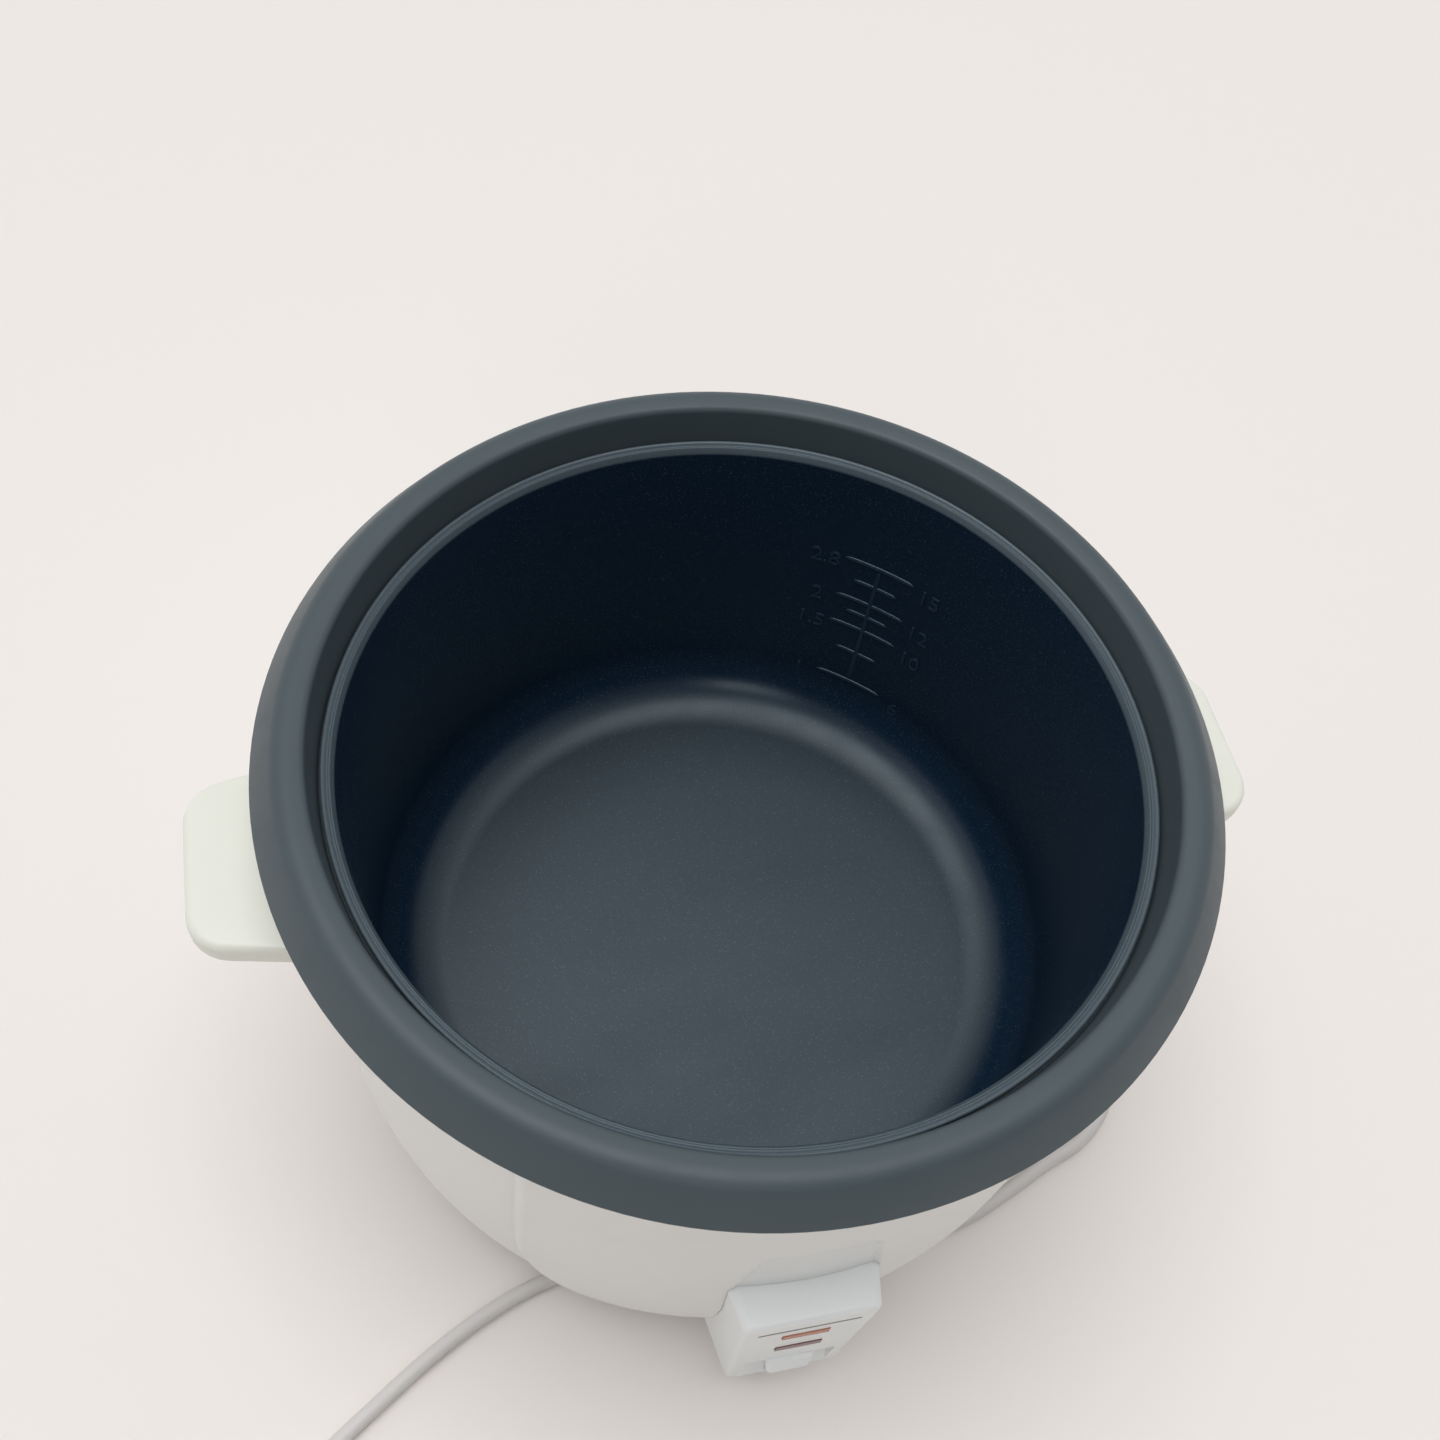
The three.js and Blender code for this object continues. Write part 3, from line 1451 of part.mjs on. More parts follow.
// Y of the lamp wire's end: the middle of the holder's foot.
function lampWireDepth() {
  const bottom = warmWindowHeight - lampHolderMargin;
  const front = lampFrontAt(bottom) + 2 * lampRadius + clearance;
  return Math.max(front + wireDiameter / 2, (front - bodyRadiusAt(bottom)) / 2);
}

// From the gland's inner end to the terminal block.
function innerLead() {
  const start = glandFaceY - cordBossLength - glandFlangeThickness - 2 * clearance;
  const blockBack = blockBehind + blockWidth / 2 + clearance;
  const low = baseTopHeight + blockHeight / 2 + clearance;
  const route = [
    [0, start, glandHeight],
    [0, start - cordDiameter, glandHeight],
    [blockAside / 3, start - 3 * cordDiameter, (glandHeight + low) / 2],
    [blockAside - cordDiameter, blockBack + 2 * cordDiameter, low],
    [blockAside, blockBack + cordDiameter, low],
    [blockAside, blockBack, low],
  ];
  addPiece('inner_lead', tube(route, cordDiameter, cordSides, wireSteps), cordSheath);
}

// Y of the gland's outer tip.
function glandTipY() {
  return glandFaceY + clearance + glandFlangeThickness + glandTaperLength;
}

function cordGland() {
  const inner = -cordBossLength - clearance;
  const outer = clearance + glandFlangeThickness;
  const gland = turned([
    [0, inner - glandFlangeThickness],
    [glandFlangeRadius, inner - glandFlangeThickness],
    [glandFlangeRadius, inner],
    [glandNeckRadius, inner],
    [glandNeckRadius, clearance],
    [glandFlangeRadius, clearance],
    [glandFlangeRadius, outer],
    [glandTaperRadius, outer],
    [glandTipRadius, outer + glandTaperLength],
    [0, outer + glandTaperLength],
  ], alongY, [0, glandFaceY, glandHeight], 2 * smallSides);
  addPiece('cord_gland', gland, cordSheath);
}

// The coil spirals in on the table, climbs a layer where it turns back, and spirals out on top.
function coilPath() {
  const steps = Math.round(coilTurns * coilLoopSteps);
  const innerRadius = coilMiddleRadius - (coilPitch * coilTurns) / 4;
  const start = THREE.MathUtils.degToRad(coilStartDegrees);
  const path = [];
  for (let i = 0; i <= steps; i++) {
    const turns = (coilTurns * i) / steps;
    const fromMiddle = turns - coilTurns / 2;
    const radius = innerRadius + coilPitch * Math.abs(fromMiddle);
    const climb = THREE.MathUtils.smoothstep(fromMiddle, -coilClimbTurns / 2, coilClimbTurns / 2);
    const angle = start + turn * turns;
    path.push(new THREE.Vector3(
      coilCentreX + radius * Math.cos(angle),
      coilCentreY + radius * Math.sin(angle),
      cordRestHeight + coilPitch * climb,
    ));
  }
  return withStraightEnds(path, cordDiameter);
}

function mainsCord() {
  const coil = coilPath();
  const gap = leastSelfGap(coil, cordDiameter);
  console.log(`least gap between the coil's turns: ${gap.toFixed(2)} mm`);
  addPiece('cord_coil', woundTube(coil, cordDiameter, coilSides), cordSheath);

  const arrival = coil[0].clone().sub(coil[1]).normalize();
  const end = coil[0].clone().addScaledVector(arrival, clearance);
  const beforeEnd = end.clone().addScaledVector(arrival, cordDiameter);
  const route = [
    [0, glandTipY() + clearance, glandHeight],
    ...cordRoute,
    beforeEnd.toArray(),
    end.toArray(),
  ];
  addPiece('mains_cord', tube(route, cordDiameter, cordSides, cordSteps), cordSheath);
  return coil;
}

// The plug lies on the table in line with the coil's outer end.
function plug(coil) {
  const last = coil[coil.length - 1];
  const heading = last.clone().sub(coil[coil.length - 2]).setZ(0).normalize();
  const halfHeight = last.z - cordLift;
  const place = last.clone().addScaledVector(heading, clearance);
  const angle = THREE.MathUtils.radToDeg(Math.atan2(heading.y, heading.x));
  const lay = (solid) => solid.rotate([0, 0, angle]).translate(place.toArray());
  const neck = turned([
    [0, 0],
    [plugNeckTip, 0],
    [plugNeckRoot, plugNeckLength + plugRound],
    [0, plugNeckLength + plugRound],
  ], alongX, [0, 0, 0]);
  const half = plugBodyWidth / 2;
  const shape = outline([
    [-half, -halfHeight, plugRound],
    [half, -halfHeight, plugRound],
    [half, halfHeight, plugRound],
    [-half, halfHeight, plugRound],
  ]);
  const geometry = thicken(shape, plugBodyLength, { curveSegments: plugRoundSteps });
  const yAxis = new THREE.Vector3(0, 1, 0);
  const zAxis = new THREE.Vector3(0, 0, 1);
  const xAxis = new THREE.Vector3(1, 0, 0);
  geometry.applyMatrix4(new THREE.Matrix4().makeBasis(yAxis, zAxis, xAxis));
  geometry.translate(plugNeckLength, 0, 0);
  addPiece('plug_body', lay(join(neck, toSolid(geometry))), cordSheath);

  const face = plugNeckLength + plugBodyLength + clearance;
  const names = ['plug_blade_left', 'plug_blade_right'];
  [-1, 1].forEach((side, i) => {
    const middle = (side * bladeSpacing) / 2;
    const blade = block(
      [face, middle - bladeThickness / 2, -bladeWidth / 2],
      [face + bladeLength, middle + bladeThickness / 2, bladeWidth / 2],
    );
    addPiece(names[i], lay(blade), brassAlloy);
  });
}

rimRing();
bodyShell();
frontPanel();
switchBox();
lampLens('cook_lamp_lens', cookWindowHeight, orangeLens);
lampLens('warm_lamp_lens', warmWindowHeight, redLens);
lamp('cook_neon_lamp', cookWindowHeight);
lamp('warm_neon_lamp', warmWindowHeight);
lampHolder();
handle('left_handle', -1);
handle('right_handle', 1);
handleScrews();
innerPot();
potWell();
heatingPlate();
plateScrews();
elementTerminals();
thermostat();
thermostatHolder();
leverBar();
leverTab();
leverPivot();
basePlate();
feet();
standoffs();
microswitch();
terminalBlock();
thermalFuse();
keepWarmHeater();
innerWires();
innerLead();
cordGland();
plug(mainsCord());

export default riceCooker;
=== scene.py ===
"""A rice cooker with a lift-out pot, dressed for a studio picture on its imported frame.

Metres, +Z up, front -Y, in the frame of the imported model. Each sub-assembly is a class that holds
its sizes, works its surfaces out with numpy, and dresses them in the finishes of the record.
"""

import logging
import math
from dataclasses import dataclass
from enum import Enum
from typing import Iterable, Sequence

import bpy
import numpy as np
from mathutils import Euler, Matrix, Vector


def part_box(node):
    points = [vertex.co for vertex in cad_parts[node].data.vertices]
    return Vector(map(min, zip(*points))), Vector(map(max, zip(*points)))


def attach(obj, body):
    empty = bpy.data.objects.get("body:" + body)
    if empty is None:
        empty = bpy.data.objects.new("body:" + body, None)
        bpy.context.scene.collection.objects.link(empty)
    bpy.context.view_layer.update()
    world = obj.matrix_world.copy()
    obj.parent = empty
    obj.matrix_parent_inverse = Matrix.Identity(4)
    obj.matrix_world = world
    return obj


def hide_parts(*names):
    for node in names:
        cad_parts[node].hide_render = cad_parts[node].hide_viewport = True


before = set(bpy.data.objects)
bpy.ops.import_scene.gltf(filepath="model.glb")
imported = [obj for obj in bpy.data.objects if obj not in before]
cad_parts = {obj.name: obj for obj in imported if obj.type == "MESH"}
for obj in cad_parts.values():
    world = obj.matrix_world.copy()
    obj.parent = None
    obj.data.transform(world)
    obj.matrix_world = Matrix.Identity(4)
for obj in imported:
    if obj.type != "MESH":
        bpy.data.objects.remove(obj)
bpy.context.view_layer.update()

log = logging.getLogger("rice_cooker")

TURN = 2 * math.pi

# Mesh fineness
LATHE_SIDES = 160
SMALL_SIDES = 48
CORD_SIDES = 14
ARC_STEPS = 7
SHARP_ANGLE = math.radians(32)

# Share of the shorter side that a corner's arc may take up
CORNER_ROOM = 0.49

# Bevels: how many steps they have, and the edges that they turn
SOFT_SEGMENTS = 2
SOFT_ANGLE = math.radians(40)

# Clearance between a visual piece and the one that it seats on
SEAT_GAP = 0.0002

# Heights that pieces share: the switch box's top, and the cord's middle where it leaves the body
BOX_TOP = 0.106
CORD_EXIT = 0.028


class Carrier(str, Enum):
    """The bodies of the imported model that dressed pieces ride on."""

    COOKER = "root"
    POT = "pot"
    LEVER = "lever"
    SENSOR = "sensor"


class Slot(str, Enum):
    """The record's material slots."""

    WHITE_PLASTIC = "white_plastic"
    HANDLE_PLASTIC = "handle_plastic"
    RIM_PLASTIC = "rim_plastic"
    POT_COATING = "pot_coating"
    CAST_ALUMINIUM = "cast_aluminium"
    ZINC_STEEL = "zinc_steel"
    SPRING_STEEL = "spring_steel"
    FERRITE = "ferrite"
    ORANGE_LENS = "orange_lens"
    RED_LENS = "red_lens"
    LAMP_GLASS = "lamp_glass"
    BLACK_PLASTIC = "black_plastic"
    MICA = "mica"
    BRASS_ALLOY = "brass_alloy"
    FOOT_RUBBER = "foot_rubber"
    CORD_SHEATH = "cord_sheath"
    WIRE_SHEATH = "wire_sheath"


class Plane(Enum):
    """How a flat outline with a thickness stands: the axes of its width, its height and its thickness."""

    FLAT = ((1, 0, 0), (0, 1, 0), (0, 0, 1))
    FRONT = ((1, 0, 0), (0, 0, 1), (0, 1, 0))
    SIDE = ((0, 1, 0), (0, 0, 1), (1, 0, 0))


# Surfaces


@dataclass
class Solid:
    """Closed surfaces: points in metres, and faces as arrays of rows with the same corner count."""

    points: np.ndarray
    faces: list[np.ndarray]

    def volume(self) -> float:
        """Signed volume: the sum of the wedges from the origin to each triangle of each face."""
        total = 0.0
        for rows in self.faces:
            corners = self.points[rows]
            first = corners[:, :1]
            wedges = np.cross(corners[:, 1:-1], corners[:, 2:])
            total += float(np.sum(first * wedges)) / 6
        return total

    def outward(self) -> "Solid":
        """The same surface with its faces pointing out, which is where the signed volume is positive."""
        if self.volume() >= 0:
            return self
        return Solid(self.points, [rows[:, ::-1] for rows in self.faces])

    def moved(self, matrix: Matrix) -> "Solid":
        """The surface under a 4 x 4 matrix, turned outward again."""
        table = np.array(matrix)
        return Solid(self.points @ table[:3, :3].T + table[:3, 3], self.faces).outward()


def joined(*solids: Solid) -> Solid:
    """Several closed surfaces as one, each with its own points."""
    points, faces, start = [], [], 0
    for solid in solids:
        points.append(solid.points)
        faces.extend(rows + start for rows in solid.faces)
        start += len(solid.points)
    return Solid(np.concatenate(points), faces)


def grid_faces(rows: int, columns: int, ring_of_rows: bool) -> np.ndarray:
    """The four-sided faces of a grid whose columns run round.

    Args:
        rows: how many rings of points there are.
        columns: points in each ring.
        ring_of_rows: whether the last ring meets the first.

    Returns:
        One row of four indices for each face.
    """
    i = np.arange(rows if ring_of_rows else rows - 1)[:, None]
    j = np.arange(columns)[None, :]
    ahead, beside = (i + 1) % rows, (j + 1) % columns
    quads = [i * columns + j, i * columns + beside, ahead * columns + beside, ahead * columns + j]
    return np.stack(np.broadcast_arrays(*quads), axis=-1).reshape(-1, 4)


def loft(sections: np.ndarray) -> Solid:
    """A skin over closed sections, capped at both ends.

    Args:
        sections: an array of sections, each a ring of points.

    Returns:
        The closed surface: section i is joined to section i + 1 point by point.
    """
    rows, columns = sections.shape[:2]
    ring = np.arange(columns)[None, :]
    caps = [ring[:, ::-1], ring + (rows - 1) * columns]
    faces = [grid_faces(rows, columns, False), *caps]
    return Solid(sections.reshape(-1, 3), faces).outward()


def lathe(profile: np.ndarray, sides: int = LATHE_SIDES) -> Solid:
    """A profile turned about the Z axis: x = r cos a, y = r sin a, z = z for a from 0 to a full turn.

    Args:
        profile: rows of radius and height. It closes on itself, or both its ends lie on the axis.
        sides: how many steps the turn has.

    Returns:
        The closed surface, with a pole at each end that lies on the axis.
    """
    on_axis = profile[0, 0] == 0
    rings = profile[1:-1] if on_axis else profile
    angle = np.arange(sides) * TURN / sides
    radius, height = rings[:, :1], rings[:, 1:]
    parts = [radius * np.cos(angle), radius * np.sin(angle), height * np.ones(sides)]
    points = np.stack(parts, axis=-1).reshape(-1, 3)
    faces = [grid_faces(len(rings), sides, not on_axis)]
    if on_axis:
        around = np.arange(sides)
        low = np.stack([np.full(sides, len(points)), (around + 1) % sides, around], axis=-1)
        last = (len(rings) - 1) * sides
        tip = np.full(sides, len(points) + 1)
        high = np.stack([tip, last + around, last + (around + 1) % sides], axis=-1)
        poles = np.array([[0, 0, profile[0, 1]], [0, 0, profile[-1, 1]]])
        points = np.concatenate([points, poles])
        faces += [low, high]
    return Solid(points, faces).outward()


def rounded(corners: Sequence[Sequence[float]], closed: bool = True) -> np.ndarray:
    """An outline whose corners are turned as circular arcs.

    Each arc of radius r lies between points r / tan(half angle) from the corner, about a centre
    on the bisector at r / sin(half angle).

    Args:
        corners: rows of two coordinates and, where the corner is turned, its radius.
        closed: whether the last corner goes on to the first. If not, the ends stay as they are.

    Returns:
        Rows of two coordinates.
    """
    points = [np.array(corner[:2], float) for corner in corners]
    count = len(points)
    drawn = []
    for i, corner in enumerate(corners):
        here = points[i]
        end = not closed and i in (0, count - 1)
        radius = 0.0 if end or len(corner) < 3 else corner[2]
        if radius <= 0:
            drawn.append(here[None, :])
            continue
        to_last, to_next = points[i - 1] - here, points[(i + 1) % count] - here
        room = CORNER_ROOM * min(np.linalg.norm(to_last), np.linalg.norm(to_next))
        to_last, to_next = to_last / np.linalg.norm(to_last), to_next / np.linalg.norm(to_next)
        half = math.acos(float(np.clip(to_last @ to_next, -1, 1))) / 2
        radius = min(radius, room * math.tan(half))
        middle = (to_last + to_next) / np.linalg.norm(to_last + to_next)
        centre = here + middle * radius / math.sin(half)
        sweep = math.pi / 2 - half
        share = np.linspace(-1, 1, ARC_STEPS)[:, None]
        across = to_next - middle * (middle @ to_next)
        across /= np.linalg.norm(across)
        turn = sweep * share
        drawn.append(centre + radius * (np.sin(turn) * across - np.cos(turn) * middle))
    return np.concatenate(drawn)


def arc(centre: Sequence[float], radius: float, start: float, end: float, steps: int = 24) -> np.ndarray:
    """Points round a circle from one angle to another, in degrees: centre + radius (cos, sin)."""
    angle = np.radians(np.linspace(start, end, steps))[:, None]
    return np.array(centre) + radius * np.hstack([np.cos(angle), np.sin(angle)])


def slab(
    outline: np.ndarray, low: float, high: float, edge: float = 0.0, plane: Plane = Plane.FLAT
) -> Solid:
    """An outline with a thickness and round edges.

    At an angle a round an edge the outline lies edge (1 - sin a) inside itself and
    edge (1 - cos a) in from its face.

    Args:
        outline: rows of two coordinates, in order round the shape.
        low: where its thickness starts.
        high: where it ends.
        edge: radius of its edges.
        plane: how it stands.

    Returns:
        The closed surface.
    """
    ahead, behind = np.roll(outline, -1, axis=0), np.roll(outline, 1, axis=0)
    along = (ahead - behind) / np.linalg.norm(ahead - behind, axis=1, keepdims=True)
    x, y = outline.T
    winding = np.sign(np.sum(x * np.roll(y, -1) - y * np.roll(x, -1)))
    inward = winding * np.stack([-along[:, 1], along[:, 0]], axis=-1)
    angle = np.linspace(0, math.pi / 2, ARC_STEPS) if edge > 0 else np.array([math.pi / 2])
    inset = edge * (1 - np.sin(angle))
    depth = edge * (1 - np.cos(angle))
    insets = np.concatenate([inset, inset[::-1]])
    levels = np.concatenate([low + depth, (high - depth)[::-1]])
    flat = outline[None] + inward[None] * insets[:, None, None]
    wide, tall, thick = (np.array(axis, float) for axis in plane.value)
    points = flat[..., :1] * wide + flat[..., 1:] * tall + levels[:, None, None] * thick
    return loft(points)


def box_solid(low: Sequence[float], high: Sequence[float]) -> Solid:
    """A block between two corners."""
    (x0, y0, z0), (x1, y1, z1) = low, high
    return slab(np.array([(x0, y0), (x1, y0), (x1, y1), (x0, y1)], float), z0, z1)


def cylinder(radius: float, low: float, high: float, edge: float = 0.0) -> Solid:
    """A round bar about the Z axis, with its upper edge turned."""
    profile = rounded([(0, low), (radius, low), (radius, high, edge), (0, high)], closed=False)
    return lathe(profile, SMALL_SIDES)


def tapered(foot: Sequence[float], head: Sequence[float]) -> np.ndarray:
    """An outline that is the same on both sides.

    Args:
        foot: half the width at its low end, the height there and the radius of the two corners.
        head: the same at its high end.

    Returns:
        Rows of two coordinates.
    """
    (wide, low, lower), (narrow, high, upper) = foot, head
    return rounded([(-wide, low, lower), (wide, low, lower), (narrow, high, upper), (-narrow, high, upper)])


def smooth_step(share: np.ndarray) -> np.ndarray:
    """A share kept from 0 to 1 and eased at both ends: s^2 (3 - 2 s)."""
    s = np.clip(share, 0, 1)
    return s * s * (3 - 2 * s)


def smooth_curve(points: np.ndarray, steps: int) -> np.ndarray:
    """A centripetal Catmull-Rom curve through points.

    Each span is the cubic whose end slopes come from the three chords round it, each weighed by
    the square root of its length.

    Args:
        points: rows of three coordinates.
        steps: points drawn in each span.

    Returns:
        The points of the curve.
    """
    ends = [2 * points[0] - points[1], *points, 2 * points[-1] - points[-2]]
    row = np.array(ends)
    chord = np.sqrt(np.linalg.norm(np.diff(row, axis=0), axis=1))[:, None]
    p0, p1, p2, p3 = row[:-3], row[1:-2], row[2:-1], row[3:]
    d0, d1, d2 = chord[:-2], chord[1:-1], chord[2:]
    leave = ((p1 - p0) / d0 - (p2 - p0) / (d0 + d1) + (p2 - p1) / d1) * d1
    reach = ((p2 - p1) / d1 - (p3 - p1) / (d1 + d2) + (p3 - p2) / d2) * d1
    t = np.linspace(0, 1, steps, endpoint=False)[None, :, None]
    c2 = (-3 * p1 + 3 * p2 - 2 * leave - reach)[:, None]
    c3 = (2 * p1 - 2 * p2 + leave + reach)[:, None]
    drawn = p1[:, None] + leave[:, None] * t + c2 * t**2 + c3 * t**3
    return np.concatenate([drawn.reshape(-1, 3), points[-1:]])


def tube(path: np.ndarray, radius: float, sides: int) -> Solid:
    """A round skin along a path that is never upright.

    At each point the ring is path + r (cos a side + sin a lift), where side lies square to the
    path and level, and lift is square to both.

    Args:
        path: rows of three coordinates.
        radius: the skin's radius r.
        sides: corners of a ring.

    Returns:
        The closed surface.
    """
    along = np.gradient(path, axis=0)
    along /= np.linalg.norm(along, axis=1, keepdims=True)
    side = np.cross(along, [0.0, 0.0, 1.0])
    side /= np.linalg.norm(side, axis=1, keepdims=True)
    lift = np.cross(side, along)
    angle = np.arange(sides) * TURN / sides
    ring = side[:, None] * np.cos(angle)[None, :, None] + lift[:, None] * np.sin(angle)[None, :, None]
    return loft(path[:, None] + radius * ring)


def pointing(origin: Sequence[float], direction: Sequence[float]) -> Matrix:
    """The matrix that takes the Z axis to a direction, and the origin to a place."""
    turn = Vector((0, 0, 1)).rotation_difference(Vector(direction))
    return Matrix.Translation(Vector(origin)) @ turn.to_matrix().to_4x4()


# Finishes


def linear(colour: str) -> tuple[float, float, float, float]:
    """A hex colour as linear light: c / 12.92 below 0.04045, else ((c + 0.055) / 1.055) to the 2.4."""
    code = np.array([int(colour[i : i + 2], 16) / 255 for i in (1, 3, 5)])
    light = np.where(code <= 0.04045, code / 12.92, ((code + 0.055) / 1.055) ** 2.4)
    return (*(float(x) for x in light), 1.0)


class Graph:
    """A node tree, with one call to add a node and set or join its sockets."""

    def __init__(self, tree: bpy.types.NodeTree) -> None:
        """Starts on a tree."""
        self.tree = tree

    def add(self, kind: str, sockets: dict | None = None, **settings: object) -> bpy.types.Node:
        """Adds a node.

        Args:
            kind: the node's type name, without ShaderNode where it starts with that.
            sockets: input name or number to a value, or to an output to join it to.
            settings: properties of the node.

        Returns:
            The node.
        """
        node = self.tree.nodes.new(kind if kind.startswith("Node") else f"ShaderNode{kind}")
        for name, value in settings.items():
            setattr(node, name, value)
        for key, value in (sockets or {}).items():
            if isinstance(value, bpy.types.NodeSocket):
                self.tree.links.new(value, node.inputs[key])
            else:
                node.inputs[key].default_value = value
        return node

    def maths(self, operation: str, *values: object) -> bpy.types.NodeSocket:
        """The result of a Math node on numbers or outputs."""
        return self.add("Math", dict(enumerate(values)), operation=operation).outputs[0]

    def spread(
        self, value: object, low: float, high: float, to_low: float, to_high: float
    ) -> bpy.types.NodeSocket:
        """A value taken from one range to another, smoothly and kept within it."""
        sockets = {"Value": value, "From Min": low, "From Max": high, "To Min": to_low, "To Max": to_high}
        return self.add("MapRange", sockets, interpolation_type="SMOOTHSTEP").outputs[0]

    def place(self) -> bpy.types.NodeSocket:
        """Where a point of the surface lies, in the piece's own coordinates."""
        return self.add("TexCoord").outputs["Object"]

    def parts(self, vector: bpy.types.NodeSocket) -> Sequence[bpy.types.NodeSocket]:
        """A vector's outputs X, Y and Z."""
        return self.add("SeparateXYZ", {"Vector": vector}).outputs

    def noise(
        self, place: bpy.types.NodeSocket, scale: object, detail: float, roughness: float = 0.5
    ) -> bpy.types.NodeSocket:
        """A noise's value at a place."""
        sockets = {"Vector": place, "Scale": scale, "Detail": detail, "Roughness": roughness}
        return self.add("TexNoise", sockets).outputs["Fac"]

    def reach(self, x: object, y: object) -> bpy.types.NodeSocket:
        """The root of x^2 + y^2."""
        flat = self.add("CombineXYZ", {"X": x, "Y": y}).outputs[0]
        return self.add("VectorMath", {0: flat}, operation="LENGTH").outputs["Value"]

    def mixed(self, mask: object, first: object, second: object) -> bpy.types.NodeSocket:
        """The first colour where a mask is 0, and the second where it is 1."""
        return self.add("MixRGB", {"Fac": mask, "Color1": first, "Color2": second}).outputs[0]


class Effect(Enum):
    """The node groups that the finishes share. Each value is the group's name."""

    GRAIN = "moulded_grain"
    MOTTLE = "colour_mottle"
    SMUDGE = "handled_smudges"
    RINGS = "turned_rings"


def open_group(
    effect: Effect, inputs: dict[str, str], outputs: dict[str, str]
) -> tuple[Graph, bpy.types.Node, bpy.types.Node]:
    """Starts a shader node group.

    Args:
        effect: which one.
        inputs: socket name to socket type.
        outputs: socket name to socket type.

    Returns:
        Its graph, its input node and its output node.
    """
    tree = bpy.data.node_groups.new(effect.value, "ShaderNodeTree")
    for name, kind in inputs.items():
        tree.interface.new_socket(name, in_out="INPUT", socket_type=kind)
    for name, kind in outputs.items():
        tree.interface.new_socket(name, in_out="OUTPUT", socket_type=kind)
    graph = Graph(tree)
    return graph, graph.add("NodeGroupInput"), graph.add("NodeGroupOutput")


FLOAT, COLOUR = "NodeSocketFloat", "NodeSocketColor"

# Grain: how much finer its second noise is. Turning marks: the scale of their wander
FINER_GRAIN = 5.0
WANDER_SCALE = 90.0

# Smudges: how their noise is turned and stretched, and between which of its values they set in
SMUDGE_TURN = (0.4, 0.7, 0.9)
SMUDGE_STRETCH = (1.0, 2.2, 1.3)
SMUDGE_LOW, SMUDGE_HIGH = 0.45, 0.75


def grain_group() -> bpy.types.NodeTree:
    """Fine moulded grain: the mean of a noise and a finer one, as a height from 0 to 1."""
    graph, given, out = open_group(Effect.GRAIN, {"Scale": FLOAT}, {"Height": FLOAT})
    place, scale = graph.place(), given.outputs["Scale"]
    coarse = graph.noise(place, scale, detail=2.0)
    fine = graph.noise(place, graph.maths("MULTIPLY", scale, FINER_GRAIN), detail=1.0)
    mean = graph.maths("MULTIPLY_ADD", fine, 0.5, graph.maths("MULTIPLY", coarse, 0.5))
    graph.tree.links.new(mean, out.inputs["Height"])
    return graph.tree


def mottle_group() -> bpy.types.NodeTree:
    """Uneven colour: a colour times 1 - amount to 1 + amount as a slow noise runs."""
    inputs = {"Color": COLOUR, "Scale": FLOAT, "Amount": FLOAT}
    graph, given, out = open_group(Effect.MOTTLE, inputs, {"Color": COLOUR})
    clouds = graph.noise(graph.place(), given.outputs["Scale"], detail=4.0, roughness=0.6)
    centred = graph.maths("MULTIPLY_ADD", clouds, 2.0, -1.0)
    value = graph.maths("MULTIPLY_ADD", centred, given.outputs["Amount"], 1.0)
    changed = graph.add("HueSaturation", {"Value": value, "Color": given.outputs["Color"]})
    graph.tree.links.new(changed.outputs["Color"], out.inputs["Color"])
    return graph.tree


def smudge_group() -> bpy.types.NodeTree:
    """Handled patches: base plus spread times a stretched noise's upper part, as a roughness."""
    inputs = {"Base": FLOAT, "Spread": FLOAT, "Scale": FLOAT}
    graph, given, out = open_group(Effect.SMUDGE, inputs, {"Roughness": FLOAT})
    stretch = {"Vector": graph.place(), "Rotation": SMUDGE_TURN, "Scale": SMUDGE_STRETCH}
    turned = graph.add("Mapping", stretch).outputs[0]
    patches = graph.noise(turned, given.outputs["Scale"], detail=5.0, roughness=0.65)
    mask = graph.spread(patches, SMUDGE_LOW, SMUDGE_HIGH, 0.0, 1.0)
    rough = graph.maths("MULTIPLY_ADD", mask, given.outputs["Spread"], given.outputs["Base"])
    graph.tree.links.new(rough, out.inputs["Roughness"])
    return graph.tree


def rings_group() -> bpy.types.NodeTree:
    """Turning marks: a height from 0 to 1 that runs as a sine of r + z and a little noise.

    r is a point's distance from the Z axis.
    """
    graph, given, out = open_group(Effect.RINGS, {"Pitch": FLOAT, "Wander": FLOAT}, {"Height": FLOAT})
    place = graph.place()
    parts = graph.parts(place)
    drawn = graph.maths("ADD", graph.reach(parts["X"], parts["Y"]), parts["Z"])
    wander = graph.maths("MULTIPLY", graph.noise(place, WANDER_SCALE, detail=3.0), given.outputs["Wander"])
    phase = graph.maths("DIVIDE", graph.maths("ADD", drawn, wander), given.outputs["Pitch"])
    wave = graph.maths("SINE", graph.maths("MULTIPLY", phase, TURN))
    height = graph.maths("MULTIPLY_ADD", wave, 0.5, 0.5)
    graph.tree.links.new(height, out.inputs["Height"])
    return graph.tree


GROUP_MAKERS = {
    Effect.GRAIN: grain_group,
    Effect.MOTTLE: mottle_group,
    Effect.SMUDGE: smudge_group,
    Effect.RINGS: rings_group,
}


def place_effect(graph: Graph, effect: Effect, sockets: dict) -> bpy.types.NodeSocket:
    """Places a shared group in a material, made on first use, and gives its one output."""
    tree = bpy.data.node_groups.get(effect.value) or GROUP_MAKERS[effect]()
    return graph.add("Group", sockets, node_tree=tree).outputs[0]


